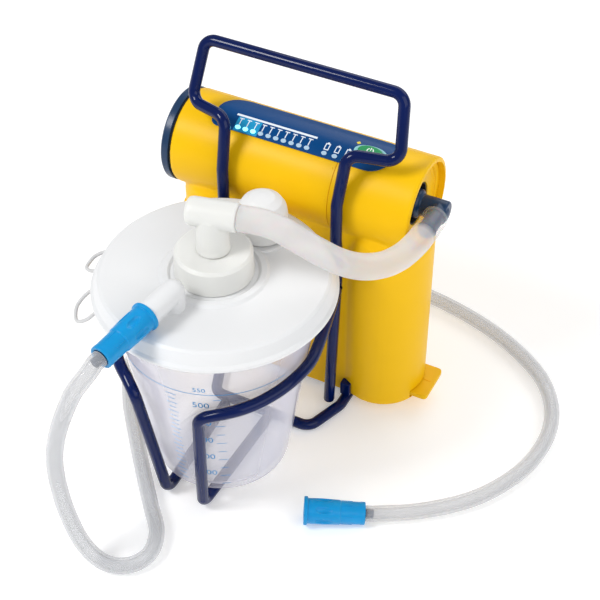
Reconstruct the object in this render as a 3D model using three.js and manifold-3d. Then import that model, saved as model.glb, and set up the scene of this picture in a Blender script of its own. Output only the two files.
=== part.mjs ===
// Portable suction pump with an 800 ml collection canister on a bent wire carry frame.
// Millimetres, +Z up. The origin is on the floor, under the middle of the whole object.
// The unit group holds the pump housing and the wire frame, with its own origin under the housing's middle.
// The jar group holds the canister, its lid and what is on it, with its own origin under the canister's axis.
import * as THREE from "three";
import { mergeVertices } from "three/addons/utils/BufferGeometryUtils.js";
import Module from "manifold-3d";

const wasm = await Module();
wasm.setup();

// Driving dimensions.
const GAP = 0.3; // clearance between pieces that touch
const UNIT_X = -2.3; // place of the housing's middle
const UNIT_Y = 65.65;
const JAR_X = -6.7; // place of the canister's axis
const JAR_Y = -28.25;

const BARREL_Z = 144.8; // height of the horizontal barrel's axis
const BARREL_R = 27.6;
const BARREL_LEFT = -70;
const BARREL_RIGHT = 75;
const WALL = 2.5;
const BASE_Z = 6.9; // underside of the housing
const LEFT_COLUMN_X = -46.5; // axes of the two end columns
const RIGHT_COLUMN_X = 55;
const COLUMN_Y = -2;
const COLUMN_R = 25.5;
const COLUMN_SHOULDER = 118;
const COLUMN_TOP = 137;
const CENTRE_FRONT = -22; // recessed middle of the lower body
const CENTRE_BACK = 23.5;
const CENTRE_TOP = 139;
const SPLIT_Y = 10; // plane between the front and rear shells

const ROD_R = 3.3; // wire of the frame
const FRAME_X = 1.2;
const LEG_HALF = 34.6;
const FOOT_Y = -33;
const FLOOR_ROD_Z = 3.3;

const PANEL_R = 28.7;
const PANEL_LOW = 58; // degrees round the barrel from the horizontal front
const PANEL_HIGH = 109;
const PANEL_LEFT = -50;
const PANEL_RIGHT = 56;
const BUTTON_X = 42.5;
const BUTTON_ANGLE = 80;
const LED_PITCH = 4.67;
const LED_FIRST_X = -33.4;
const LED_ANGLE = 63;

const JAR_BOTTOM = 7;
const JAR_RIM_Z = 135.8;
const LID_R = 65;
const LID_LIP_Z = 131;
const HUB_SEAT_Z = 141.2;
const CAP_R = 21;
const CAP_TOP = 156.5;
const TEE_Z = 179.5;
const TEE_R = 7.7;
const TEE_TURN = 12.6; // degrees from +X towards +Y
const TEE_RIGHT = 14;
const SPOUT_X = 8.4;
const SPOUT_Y = 37.9;
const PORT_TURN = -100; // degrees, heading of the patient port
const PORT_DROP = 4; // degrees below the horizontal
const PORT_Z = 149.5; // axis height at the connector's face
const PORT_REACH = 52.9;
const CONNECTOR_LENGTH = 34;

const ELBOW_X = 82.6; // outlet of the vacuum port, beyond the barrel's right end
const ELBOW_END_Y = -6;
const TUBE_R = 4.5;
const HOSE_R = 7;
const TETHER_R = 1;

// Free tube's route on the floor, from the patient connector to the tip connector.
const TUBE_ROUTE = [
  [-24, -122, 142.8], [-27.5, -129, 137], [-33, -133, 122], [-39.5, -133, 103], [-45, -132, 80],
  [-46, -131, 56], [-42.5, -131, 33], [-35, -131.5, 15], [-24, -131.5, 6.2], [-11.5, -127, 5],
  [-5, -116, 5], [-8.5, -101, 5], [-22, -85, 5], [-40, -64, 5], [-59, -41, 5], [-76, -19, 5],
  [-91, 9, 5], [-99, 44, 5], [-96, 80, 5], [-79, 110, 5], [-48, 130, 5], [-5, 141, 5], [42, 144, 5],
  [84, 136, 5], [117, 122, 5], [143, 102, 5], [157, 75, 5], [157, 40, 5], [141, 4, 5.2], [115, -22, 5.8],
];
const TIP_START = [88.2, -38.2, 6.6];
const TIP_END = [56.7, -53.2, 8.4];

// Vacuum hose's route, from the tee on the lid to the port at the barrel's right end.
const HOSE_ROUTE = [
  [18, -22.6, 179.2], [27, -20.6, 176.8], [37, -18.3, 171.5], [47, -15.5, 165.5], [56.5, -11.5, 159.5],
  [65.5, -4.5, 154], [73, 6, 149.8], [77.6, 19, 147], [79.8, 33, 145.6], [80.3, 45, 145],
];

// ---------- helpers ----------

// A closed three.js geometry as a manifold solid, turned the right way out.
function solid(geometry) {
  const plain = geometry.clone();
  plain.deleteAttribute("normal");
  plain.deleteAttribute("uv");
  const merged = mergeVertices(plain, 1e-4);
  const triVerts = new Uint32Array(merged.index.array);
  const vertProperties = merged.attributes.position.array;
  const made = new wasm.Manifold(new wasm.Mesh({ numProp: 3, vertProperties, triVerts }));
  if (made.volume() > 0) return made;
  for (let i = 0; i < triVerts.length; i += 3) {
    [triVerts[i + 1], triVerts[i + 2]] = [triVerts[i + 2], triVerts[i + 1]];
  }
  return new wasm.Manifold(new wasm.Mesh({ numProp: 3, vertProperties, triVerts }));
}

function geometryOf(manifold) {
  const mesh = manifold.getMesh();
  const geometry = new THREE.BufferGeometry();
  geometry.setAttribute("position", new THREE.BufferAttribute(mesh.vertProperties, 3));
  geometry.setIndex(new THREE.BufferAttribute(mesh.triVerts, 1));
  geometry.computeVertexNormals();
  return geometry;
}

function join(...geometries) {
  return geometryOf(geometries.map(solid).reduce((a, b) => a.add(b)));
}

function cut(geometry, ...tools) {
  return geometryOf(tools.map(solid).reduce((a, b) => a.subtract(b), solid(geometry)));
}

function common(a, b) {
  return geometryOf(solid(a).intersect(solid(b)));
}

// A box from its lowest and highest corners.
function box(low, high) {
  const size = high.map((h, i) => h - low[i]);
  const middle = high.map((h, i) => (h + low[i]) / 2);
  return new THREE.BoxGeometry(...size).translate(...middle);
}

// A solid of revolution about Z from [radius, height] pairs that start and end on the axis or close up.
function turned(profile, segments = 32) {
  const points = profile.map(([r, z]) => new THREE.Vector2(r, z));
  if (THREE.ShapeUtils.area(points) < 0) points.reverse();
  return new THREE.LatheGeometry(points, segments).rotateX(Math.PI / 2);
}

// A closed ring section turned about Z.
function ring(profile, segments = 32) {
  return turned([...profile, profile[0]], segments);
}

// A plain cylinder along Z between two heights.
function post(radius, low, high, segments = 24) {
  return turned([[0, low], [radius, low], [radius, high], [0, high]], segments);
}

// Lays a Z-turned geometry along X, with its heights becoming x.
function alongX(geometry) {
  return geometry.rotateY(Math.PI / 2);
}

// Lays a Z-turned geometry along +Y, with its heights becoming y.
function alongY(geometry) {
  return geometry.rotateX(-Math.PI / 2);
}

// Stands a Z-turned geometry at a point, with its +Z along a direction.
function aim(geometry, start, direction) {
  const turn = new THREE.Quaternion().setFromUnitVectors(new THREE.Vector3(0, 0, 1), direction);
  return geometry.applyQuaternion(turn).translate(start.x, start.y, start.z);
}

// A path given by its corner points, swept as it stands: one step for each stretch.
class PointPath extends THREE.Curve {
  constructor(points) {
    super();
    this.points = points;
  }

  getSpacedPoints() {
    return this.points;
  }

  getTangentAt(u, target = new THREE.Vector3()) {
    const last = this.points.length - 1;
    const i = Math.round(u * last);
    const before = this.points[Math.max(i - 1, 0)];
    const after = this.points[Math.min(i + 1, last)];
    const here = this.points[i];
    const out = after.clone().sub(here).normalize();
    const back = here.clone().sub(before).normalize();
    return target.copy(out.add(back)).normalize();
  }
}

// Rounds each inner corner of a polyline with an arc of the given radius.
function rounded(corners, radius, steps = 5) {
  const at = corners.map((c) => new THREE.Vector3(...c));
  const path = [at[0]];
  for (let i = 1; i < at.length - 1; i += 1) {
    const inward = at[i - 1].clone().sub(at[i]).normalize();
    const onward = at[i + 1].clone().sub(at[i]).normalize();
    const half = inward.angleTo(onward) / 2;
    const reach = radius / Math.tan(half);
    const middle = inward.clone().add(onward).normalize();
    const centre = at[i].clone().addScaledVector(middle, radius / Math.sin(half));
    const from = at[i].clone().addScaledVector(inward, reach).sub(centre);
    const to = at[i].clone().addScaledVector(onward, reach).sub(centre);
    const sweep = from.angleTo(to);
    const count = Math.max(1, Math.round((steps * sweep) / (Math.PI / 2)));
    for (let k = 0; k <= count; k += 1) {
      const share = k / count;
      const a = Math.sin((1 - share) * sweep) / Math.sin(sweep);
      const b = Math.sin(share * sweep) / Math.sin(sweep);
      path.push(centre.clone().addScaledVector(from, a).addScaledVector(to, b));
    }
  }
  path.push(at[at.length - 1]);
  return path;
}

function disc(radius, sides) {
  const points = [];
  for (let i = 0; i < sides; i += 1) {
    const angle = (2 * Math.PI * i) / sides;
    points.push(new THREE.Vector2(radius * Math.cos(angle), radius * Math.sin(angle)));
  }
  return new THREE.Shape(points);
}

// A round bar swept along a list of points.
function bar(points, radius, sides = 12) {
  const extrudePath = new PointPath(points);
  return new THREE.ExtrudeGeometry(disc(radius, sides), { steps: points.length - 1, extrudePath });
}

// A soft tube along a smooth curve through its route points, with its first and last stretch straight.
function softTube(route, radius, steps, sides) {
  const points = route.map((p) => new THREE.Vector3(...p));
  const curve = new THREE.CatmullRomCurve3(points.slice(1, -1));
  return bar([points[0], ...curve.getSpacedPoints(steps), points[points.length - 1]], radius, sides);
}

// A strip of the barrel's skin: an arc between two radii and two angles, from x0 to x1.
function barrelStrip(inner, outer, lowAngle, highAngle, x0, x1, segments = 12) {
  const points = [];
  const place = (radius, degrees) => {
    const angle = THREE.MathUtils.degToRad(degrees);
    return new THREE.Vector2(-radius * Math.cos(angle), radius * Math.sin(angle));
  };
  for (let i = 0; i <= segments; i += 1) {
    points.push(place(outer, lowAngle + ((highAngle - lowAngle) * i) / segments));
  }
  for (let i = segments; i >= 0; i -= 1) {
    points.push(place(inner, lowAngle + ((highAngle - lowAngle) * i) / segments));
  }
  const strip = new THREE.ExtrudeGeometry(new THREE.Shape(points), {
    depth: x1 - x0,
    bevelEnabled: false,
  });
  // Shape x becomes y, shape y becomes z, and the depth becomes x.
  const turn = new THREE.Matrix4().makeBasis(
    new THREE.Vector3(0, 1, 0),
    new THREE.Vector3(0, 0, 1),
    new THREE.Vector3(1, 0, 0),
  );
  return strip.applyMatrix4(turn).translate(x0, 0, BARREL_Z);
}

// The outward direction at an angle round the barrel.
function barrelNormal(degrees) {
  const angle = THREE.MathUtils.degToRad(degrees);
  return new THREE.Vector3(0, -Math.cos(angle), Math.sin(angle));
}

function barrelPoint(x, radius, degrees) {
  const normal = barrelNormal(degrees);
  return new THREE.Vector3(x, normal.y * radius, BARREL_Z + normal.z * radius);
}

const FINISHES = {
  yellow: { color: 0xf5c211, roughness: 0.45, metalness: 0 },
  navy: { color: 0x0a1550, roughness: 0.22, metalness: 0.1 },
  steelBlue: { color: 0x1b3a57, roughness: 0.35, metalness: 0 },
  panel: { color: 0x0d4a94, roughness: 0.35, metalness: 0 },
  green: { color: 0x109048, roughness: 0.4, metalness: 0 },
  lamp: { color: 0xe8f4ff, roughness: 0.3, metalness: 0 },
  black: { color: 0x15171a, roughness: 0.7, metalness: 0 },
  white: { color: 0xf4f4f2, roughness: 0.5, metalness: 0 },
  milky: { color: 0xe6e6df, roughness: 0.45, metalness: 0 },
  clear: { color: 0xdfe8ee, roughness: 0.08, metalness: 0 },
  blue: { color: 0x1f8fd6, roughness: 0.4, metalness: 0 },
  steel: { color: 0xb8bcc0, roughness: 0.3, metalness: 1 },
  brass: { color: 0xc9a24a, roughness: 0.35, metalness: 1 },
  board: { color: 0x1d6b3a, roughness: 0.55, metalness: 0 },
};
const materials = new Map(
  Object.entries(FINISHES).map(([name, values]) => [name, new THREE.MeshStandardMaterial(values)]),
);

const object = new THREE.Group();
const unit = new THREE.Group();
unit.position.set(UNIT_X, UNIT_Y, 0);
const jar = new THREE.Group();
jar.position.set(JAR_X, JAR_Y, 0);
object.add(unit, jar);

function add(group, name, finish, geometry) {
  const mesh = new THREE.Mesh(geometry, materials.get(finish));
  mesh.name = name;
  group.add(mesh);
  return mesh;
}

// ---------- pump housing ----------

// The housing's form, taken in by an inset: a barrel on a lower body with a column at each end.
function housingForm(inset, left, right) {
  const barrel = alongX(post(BARREL_R - inset, left, right, 40)).translate(0, 0, BARREL_Z);
  const r = COLUMN_R - inset;
  const low = BASE_Z + inset;
  const crown = [
    [0, low], [r, low], [r, COLUMN_SHOULDER - inset], [r - 1.5, COLUMN_SHOULDER + 7 - inset],
    [r - 5.5, COLUMN_TOP - 5 - inset], [r - 12, COLUMN_TOP - inset], [0, COLUMN_TOP - inset],
  ];
  const columns = [LEFT_COLUMN_X, RIGHT_COLUMN_X].map((x) => turned(crown, 28).translate(x, COLUMN_Y, 0));
  const middle = box(
    [LEFT_COLUMN_X, CENTRE_FRONT + inset, low],
    [RIGHT_COLUMN_X, CENTRE_BACK - inset, CENTRE_TOP - inset],
  );
  return join(barrel, middle, ...columns);
}

// The space beyond the barrel's two ends, which the columns' crowns are cut back from.
function beyondEnds() {
  const left = alongX(post(BARREL_R + 0.6, BARREL_LEFT - 20, BARREL_LEFT, 40));
  const right = alongX(post(BARREL_R - WALL, BARREL_RIGHT, BARREL_RIGHT + 20, 40));
  return [left, right].map((end) => end.translate(0, 0, BARREL_Z));
}

const CAP_FACE = 70; // the right end cap's outer face
const KNOB_SHAFT_R = 3;
const SCREW_PLACES = [[-22, 20], [26, 20], [-22, 100], [26, 100]];
const BOSS_R = 3.8;
const REACH = 200; // longer than anything it cuts
const TAB_LOW = 10;
const TAB_HIGH = 14;
const TAB_FRONT = -9;
const TAB_BACK = 13;
const INLET_Z = 92;
const LEFT_FACE = LEFT_COLUMN_X - COLUMN_R;

function screwBosses(from, to) {
  return SCREW_PLACES.map(([x, z]) => alongY(post(BOSS_R, from, to, 10)).translate(x, 0, z));
}

function shells() {
  const hollow = cut(
    housingForm(0, BARREL_LEFT, BARREL_RIGHT),
    housingForm(WALL, BARREL_LEFT + WALL, BARREL_RIGHT + 5),
    alongX(post(KNOB_SHAFT_R + 0.5, BARREL_LEFT - 1, BARREL_LEFT + 5)).translate(0, 0, BARREL_Z),
    ...beyondEnds(),
    alongX(post(4.8, LEFT_FACE - 2, LEFT_FACE + 10, 16)).translate(0, 0, INLET_Z),
    box([RIGHT_COLUMN_X + 15, TAB_FRONT - GAP, TAB_LOW - 1.5], [RIGHT_COLUMN_X + 30, TAB_BACK + GAP, TAB_HIGH + GAP]),
    barrelStrip(BARREL_R - 1, PANEL_R + 4, PANEL_LOW - 1, PANEL_HIGH + 1, PANEL_LEFT - GAP, PANEL_RIGHT + GAP),
    buttonBody(7.6, 4.3, 19, 34),
  );
  const front = common(hollow, box([-REACH, -REACH, -REACH], [REACH, SPLIT_Y - GAP / 2, REACH]));
  const rear = common(hollow, box([-REACH, SPLIT_Y + GAP / 2, -REACH], [REACH, REACH, REACH]));
  const frontHoles = SCREW_PLACES.map(([x, z]) => alongY(post(1.6, -15, SPLIT_Y, 8)).translate(x, 0, z));
  const rearHoles = SCREW_PLACES.flatMap(([x, z]) => [
    alongY(post(1.9, SPLIT_Y - 1, CENTRE_BACK + 1, 8)).translate(x, 0, z),
    alongY(post(3.3, CENTRE_BACK - 4, CENTRE_BACK + 1, 12)).translate(x, 0, z),
  ]);
  add(unit, "front_housing", "yellow",
    cut(join(front, ...screwBosses(CENTRE_FRONT + 1, SPLIT_Y - GAP / 2)), ...frontHoles));
  add(unit, "rear_housing", "yellow",
    cut(join(rear, ...screwBosses(SPLIT_Y + GAP / 2, CENTRE_BACK - 1)), ...rearHoles));
  SCREW_PLACES.forEach(([x, z], i) => {
    const head = [[0, 0], [1.3, 0], [1.3, 20], [2.9, 20], [2.9, 22.4], [1.6, 22.9], [0, 22.9]];
    add(unit, "case_screw_" + (i + 1), "steel", alongY(turned(head, 8)).translate(x, CENTRE_BACK - 24, z));
  });
}

// A rounded oval prism that stands on the barrel at the button's place, between two radii.
function buttonBody(halfLength, halfWidth, inner, outer) {
  const outline = new THREE.Shape();
  outline.absellipse(0, 0, halfLength, halfWidth, 0, 2 * Math.PI);
  const prism = new THREE.ExtrudeGeometry(outline, {
    depth: outer - inner,
    bevelEnabled: false,
    curveSegments: 8,
  });
  const start = barrelPoint(BUTTON_X, inner, BUTTON_ANGLE);
  return aim(prism, start, barrelNormal(BUTTON_ANGLE));
}

function rightEnd() {
  const capProfile = [
    [12.2, 66.5], [24.8, 66.5], [24.8, CAP_FACE + 1.4], [21.5, CAP_FACE + 1.4], [20.5, CAP_FACE], [12.2, CAP_FACE],
  ];
  add(unit, "right_end_cap", "yellow", alongX(ring(capProfile, 32)).translate(0, 0, BARREL_Z));
  const liner = [[5.6, 60], [11.9, 60], [11.9, CAP_FACE - 0.8], [9.2, CAP_FACE - 0.8], [9.2, 64], [5.6, 64]];
  add(unit, "port_liner", "black", alongX(ring(liner, 20)).translate(0, 0, BARREL_Z));
  const pipe = [
    [0, 58], [5.3, 58], [5.3, 70.5], [7.4, 70.5], [7.4, 72.5], [5.9, 73], [5.9, 86.2], [5, 87.2], [0, 87.2],
  ];
  const outlet = alongY(post(5.9, ELBOW_END_Y, 0, 16)).translate(ELBOW_X, 0, BARREL_Z);
  const run = alongX(turned(pipe, 18)).translate(0, 0, BARREL_Z);
  const bores = [
    alongX(post(2.6, 50, ELBOW_X, 10)).translate(0, 0, BARREL_Z),
    alongY(post(2.6, ELBOW_END_Y - 1, 0, 10)).translate(ELBOW_X, 0, BARREL_Z),
  ];
  add(unit, "vacuum_port_elbow", "steelBlue", cut(join(run, outlet), ...bores));
}

function leftEnd() {
  const seal = [[4, -70.9], [26.6, -70.9], [26.6, BARREL_LEFT - GAP], [4, BARREL_LEFT - GAP]];
  add(unit, "knob_seal", "black", alongX(ring(seal, 28)).translate(0, 0, BARREL_Z));
  const dial = [
    [0, -75.2], [20, -75.2], [22, -76.2], [26.4, -76.2], [27.5, -75.2], [27.5, -71.2], [KNOB_SHAFT_R, -71.2],
    [KNOB_SHAFT_R, -52], [0, -52],
  ];
  const knob = alongX(turned(dial, 36));
  const grip = box([-83.8, -3.4, -9], [-74.5, 3.4, 9]);
  add(unit, "regulator_knob", "steelBlue", join(knob, grip).translate(0, 0, BARREL_Z));
  const valve = [[0, -36], [8, -36], [12, -40], [12, -62], [3.4, -62], [3.4, -51], [0, -51]];
  add(unit, "regulator_valve", "brass", alongX(turned(valve, 16)).translate(0, 0, BARREL_Z));
}

function panel() {
  const plate = barrelStrip(BARREL_R - 1 + GAP, PANEL_R, PANEL_LOW, PANEL_HIGH, PANEL_LEFT, PANEL_RIGHT);
  const ledRow = barrelStrip(PANEL_R - 0.8, PANEL_R + 3, LED_ANGLE - 3, LED_ANGLE + 3, LED_FIRST_X - 3,
    LED_FIRST_X + 9 * LED_PITCH + 3, 4);
  const batteryRow = barrelStrip(PANEL_R - 0.8, PANEL_R + 3, LED_ANGLE - 3, LED_ANGLE + 3, 15, 34, 4);
  add(unit, "control_panel", "panel", cut(plate, ledRow, batteryRow, buttonBody(7.6, 4.3, 19, 34)));
  add(unit, "vacuum_led_bar", "lamp", barrelStrip(PANEL_R - 0.5, PANEL_R + 0.15, LED_ANGLE - 2.4, LED_ANGLE + 2.4,
    LED_FIRST_X - 2.6, LED_FIRST_X + 9 * LED_PITCH + 2.6, 4));
  add(unit, "battery_led_bar", "lamp", barrelStrip(PANEL_R - 0.5, PANEL_R + 0.15, LED_ANGLE - 2.4,
    LED_ANGLE + 2.4, 15.4, 33.6, 4));
  add(unit, "power_button", "green", buttonBody(7.2, 3.9, 25.8, PANEL_R + 1.6));
}

function sideFittings() {
  const tab = new THREE.ExtrudeGeometry(tabOutline(), { depth: 3.2, bevelEnabled: false, curveSegments: 4 });
  add(unit, "battery_release_tab", "yellow", tab.translate(0, 0, TAB_LOW));
  const cover = roundedPlate(15, 16, 3.4, 5);
  add(unit, "inlet_cover", "yellow", cover.rotateY(-Math.PI / 2).translate(LEFT_FACE - GAP, 0, INLET_Z));
  const socket = [[0, 9], [4.4, 9], [4.4, 0.2], [2.4, 0.2], [2.4, 7], [0, 7]];
  add(unit, "power_inlet", "black", alongX(turned(socket, 14)).translate(LEFT_FACE, 0, INLET_Z));
}

// Plan of the release tab: a plate with rounded outer corners.
function tabOutline() {
  const out = 88;
  const root = 72;
  const r = 3;
  const outline = new THREE.Shape();
  outline.moveTo(root, TAB_FRONT);
  outline.lineTo(out - r, TAB_FRONT);
  outline.quadraticCurveTo(out, TAB_FRONT, out, TAB_FRONT + r);
  outline.lineTo(out, TAB_BACK - r);
  outline.quadraticCurveTo(out, TAB_BACK, out - r, TAB_BACK);
  outline.lineTo(root, TAB_BACK);
  outline.closePath();
  return outline;
}

// A rounded plate, its width along Y and height along X before it is turned, growing towards +Z.
function roundedPlate(width, height, thickness, radius) {
  const x = height / 2;
  const y = width / 2;
  const outline = new THREE.Shape();
  outline.moveTo(-x + radius, -y);
  outline.lineTo(x - radius, -y);
  outline.quadraticCurveTo(x, -y, x, -y + radius);
  outline.lineTo(x, y - radius);
  outline.quadraticCurveTo(x, y, x - radius, y);
  outline.lineTo(-x + radius, y);
  outline.quadraticCurveTo(-x, y, -x, y - radius);
  outline.lineTo(-x, -y + radius);
  outline.quadraticCurveTo(-x, -y, -x + radius, -y);
  return new THREE.ExtrudeGeometry(outline, { depth: thickness, bevelEnabled: false, curveSegments: 5 });
}

function underside() {
  add(unit, "base_plate", "black", box([FRAME_X - 36.5, -27, 3.5], [FRAME_X + 36.5, 18, BASE_Z - GAP]));
  const feet = [[-54, -9], [60, -9], [-54, 10], [60, 10]];
  feet.forEach(([x, y], i) => {
    const foot = [[0, 0], [4.6, 0], [5.4, 1], [6, BASE_Z - GAP], [0, BASE_Z - GAP]];
    add(unit, "rubber_foot_" + (i + 1), "black", turned(foot, 12).translate(x, y, 0));
  });
}

// ---------- inside the housing ----------

function pumpInside() {
  const x = LEFT_COLUMN_X;
  const y = COLUMN_Y;
  const can = [[0, 14], [14, 14], [15, 15], [15, 60], [6, 60], [6, 63], [1.8, 63], [1.8, 48], [0, 48]];
  add(unit, "pump_motor", "steel", turned(can, 20).translate(x, y, 0));
  const spindle = post(1.5, 48.5, 81, 10);
  const eccentric = post(6, 65, 73, 16).translate(2.2, 0, 0);
  add(unit, "motor_spindle", "steel", join(spindle, eccentric).translate(x, y, 0));
  const body = cut(box([-15, -13, 76], [15, 13, 90]), post(1.8, 70, 82, 16));
  add(unit, "pump_body", "black", body.translate(x, y, 0));
  add(unit, "pump_diaphragm", "black", post(12, 90 + GAP, 92, 18).translate(x, y, 0));
  const nipples = [-7, 7].map((dx) => post(2.6, 100, 110, 10).translate(dx, 0, 0));
  const cover = join(box([-15, -13, 92 + GAP], [15, 13, 101]), ...nipples);
  add(unit, "pump_cover", "black", cover.translate(x, y, 0));
  const line = rounded([[x - 7, y, 110.4], [x - 7, y, 119], [x - 5, 0, 131.8]], 6, 4);
  add(unit, "pump_hose", "clear", bar(line, 2.6, 8));
  add(unit, "vacuum_line", "clear", alongX(post(2.6, -35.6, 57.6, 8)).translate(0, 0, BARREL_Z));
  const muffler = [[0, 40], [9, 40], [11, 42], [11, 78], [9, 80], [0, 80]];
  add(unit, "exhaust_silencer", "black", turned(muffler, 14));
  add(unit, "battery_pack", "blue", box([42, -16, 12], [68, 12, 104]));
  add(unit, "circuit_board", "board", box([-44, -15, 157], [38, 8.5, 158.6]));
}

// ---------- wire frame ----------

function carryFrame() {
  const side = (s) => [
    [FRAME_X + s * 32.8, FOOT_Y, 3.6],
    [FRAME_X + s * LEG_HALF, -28.8, 112],
    [FRAME_X + s * LEG_HALF, -31.7, 130],
    [FRAME_X + s * LEG_HALF, -31.7, 154],
    [FRAME_X + s * 36.2, -23.5, 183],
    [FRAME_X + s * 62.4, -14, 180],
    [FRAME_X + s * 58.4, -2.4, 214.4],
  ];
  const corners = [...side(-1), ...side(1).reverse()];
  add(unit, "carry_frame", "navy", bar(rounded(corners, 7, 4), ROD_R, 10));
  const half = [[40.4, 8], [40.4, -33], [31.5, -57]];
  const mirror = (s) => half.map(([x, y]) => [FRAME_X + s * x, y, FLOOR_ROD_Z]);
  add(unit, "base_rod", "navy", bar(rounded([...mirror(1), ...mirror(-1).reverse()], 8, 4), ROD_R, 10));
  [-1, 1].forEach((s) => {
    const name = s < 0 ? "left" : "right";
    const x0 = FRAME_X + s * 37.3;
    const x1 = FRAME_X + s * 43.5;
    const low = [Math.min(x0, x1), -27.5, 7];
    const high = [Math.max(x0, x1), -22.6, 16];
    const lug = box(low, high);
    const clear = housingForm(-GAP, BARREL_LEFT, BARREL_RIGHT);
    add(unit, "frame_bracket_" + name, "black", cut(lug, clear));
  });
}

// One side of the canister's cradle, in the jar's frame: a ring half that dips to the front corner,
// drops to the floor and runs back under the canister to the base rod.
function cradle(s) {
  const ringR = 55.2;
  const onRing = (degrees, z) => {
    const angle = THREE.MathUtils.degToRad(degrees);
    return [s * ringR * Math.cos(angle), ringR * Math.sin(angle), z];
  };
  const frameX = UNIT_X + FRAME_X - JAR_X;
  const legY = UNIT_Y - JAR_Y - 32.4;
  const front = [
    [s * 19 - 2, -52.6, 87.5],
    [s * 11.5 - 2, -41.4, FLOOR_ROD_Z],
    [s * 14 - 2, UNIT_Y - JAR_Y - 60.7, FLOOR_ROD_Z],
  ];
  const startX = frameX + s * (LEG_HALF + 2);
  const start = [startX, legY, 98];
  // The rod meets the ring's circle at a tangent.
  const touch = THREE.MathUtils.radToDeg(
    Math.atan2(legY, s * startX) - Math.acos(ringR / Math.hypot(startX, legY)),
  );
  const arc = [touch, 0, -16, -28, -40, -50, -58].map((a) => onRing(a, 98 + Math.min(0, a + 20) * 0.17));
  const smooth = new THREE.CatmullRomCurve3([start, ...arc].map((p) => new THREE.Vector3(...p)));
  const sweep = smooth.getSpacedPoints(12).map((p) => p.toArray());
  const bends = rounded([sweep[sweep.length - 1], ...front], 7.5, 4).slice(1);
  return [...sweep.map((p) => new THREE.Vector3(...p)), ...bends];
}

function cradles() {
  add(jar, "cradle_rod_left", "navy", bar(cradle(-1), ROD_R, 10));
  add(jar, "cradle_rod_right", "navy", bar(cradle(1), ROD_R, 10));
}

// ---------- canister and lid ----------

function canister() {
  const taper = 0.15;
  const outer = (z) => 37.7 + taper * (z - 8);
  const inner = (z) => outer(z) - 2;
  const wall = [
    [0, JAR_BOTTOM], [30, JAR_BOTTOM], [34.4, 8.3], [outer(12) - 0.6, 11.8], [outer(17), 17],
    [outer(130), 130], [56.6, 132.6], [58, 133.4], [58, JAR_RIM_Z],
    [54.2, JAR_RIM_Z], [inner(130), 130], [inner(17), 17], [35, 12.6], [32.6, 10.3], [29, 9], [0, 9],
  ];
  add(jar, "canister", "clear", turned(wall, 36));
  const seal = [[54.9, 136.1], [57.5, 136.1], [57.5, 138.2], [54.9, 138.2]];
  add(jar, "lid_seal", "white", ring(seal, 32));
  const cage = [
    [4, 100], [10, 100], [10.6, 134.6], [13.5, 134.6], [13.5, 136.9], [6, 136.9], [6, 134.8], [8.2, 133],
    [8.2, 102], [4, 102],
  ];
  const windows = [0, 90].map((degrees) =>
    box([-14, -2.6, 106], [14, 2.6, 128]).rotateZ(THREE.MathUtils.degToRad(degrees)));
  add(jar, "float_cage", "milky", cut(ring(cage, 16), ...windows));
  const float = [[0, 102.4], [6, 102.4], [7.4, 104], [7.4, 113], [5, 117.5], [0, 119]];
  add(jar, "shutoff_float", "blue", turned(float, 14));
}

function portDirection() {
  const turn = THREE.MathUtils.degToRad(PORT_TURN);
  const drop = THREE.MathUtils.degToRad(PORT_DROP);
  return new THREE.Vector3(
    Math.cos(drop) * Math.cos(turn),
    Math.cos(drop) * Math.sin(turn),
    -Math.sin(drop),
  );
}

function portFace() {
  const turn = THREE.MathUtils.degToRad(PORT_TURN);
  return new THREE.Vector3(PORT_REACH * Math.cos(turn), PORT_REACH * Math.sin(turn), PORT_Z);
}

function lid() {
  const plate = [
    [LID_R, LID_LIP_Z], [LID_R, 133.2], [63.4, 134.6], [61, 140.4], [59.4, 141.5], [54, 141.4], [42, 140.4],
    [29, 140.9], [27.5, 142.3], [24.5, 142.6], [23, HUB_SEAT_Z], [17, HUB_SEAT_Z], [17, 151.5],
    [12.5, 151.5], [12.5, 137.3], [18, 137.3], [30, 138], [42, 137.6], [54, 138.6],
    [58.4, 138.6], [59, 134], [62.6, 132.6], [62.6, LID_LIP_Z],
  ];
  const along = portDirection();
  const face = portFace();
  const heel = face.clone().addScaledVector(along, -20);
  const barrel = aim(turned([[0, 0], [6.4, 0], [6.4, 19], [5.6, 19.6], [4.5, 19.8], [4.5, 33], [0, 33]], 16),
    heel, along);
  const riser = post(6.4, 139, heel.z, 16).translate(heel.x, heel.y, 0);
  const knuckle = new THREE.SphereGeometry(6.4, 16, 8).rotateX(Math.PI / 2).translate(heel.x, heel.y, heel.z);
  const turn = THREE.MathUtils.degToRad(PORT_TURN);
  const rib = box([33, -1.6, 139], [PORT_REACH - 1.5, 1.6, 148]).rotateZ(turn);
  const spout = post(11.4, 139, 156, 24).translate(SPOUT_X, SPOUT_Y, 0);
  const bores = [
    post(9.4, 130, 160, 24).translate(SPOUT_X, SPOUT_Y, 0),
    aim(post(2.6, 0, 40, 10), heel, along),
    post(2.6, 130, heel.z, 10).translate(heel.x, heel.y, 0),
  ];
  add(jar, "lid", "white", cut(join(ring(plate, 40), barrel, riser, knuckle, rib, spout), ...bores));

  const capProfile = [
    [17.4, HUB_SEAT_Z + GAP], [CAP_R, HUB_SEAT_Z + GAP], [CAP_R - 0.5, CAP_TOP - 1.6], [CAP_R - 2, CAP_TOP],
    [3.2, CAP_TOP], [3.2, CAP_TOP - 2.2], [17.4, CAP_TOP - 2.2],
  ];
  add(jar, "filter_cap", "milky", ring(capProfile, 28));
  add(jar, "bacterial_filter", "white", post(16.8, 151.8, 153.9, 20));
  tee();
  spoutCap();
}

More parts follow.
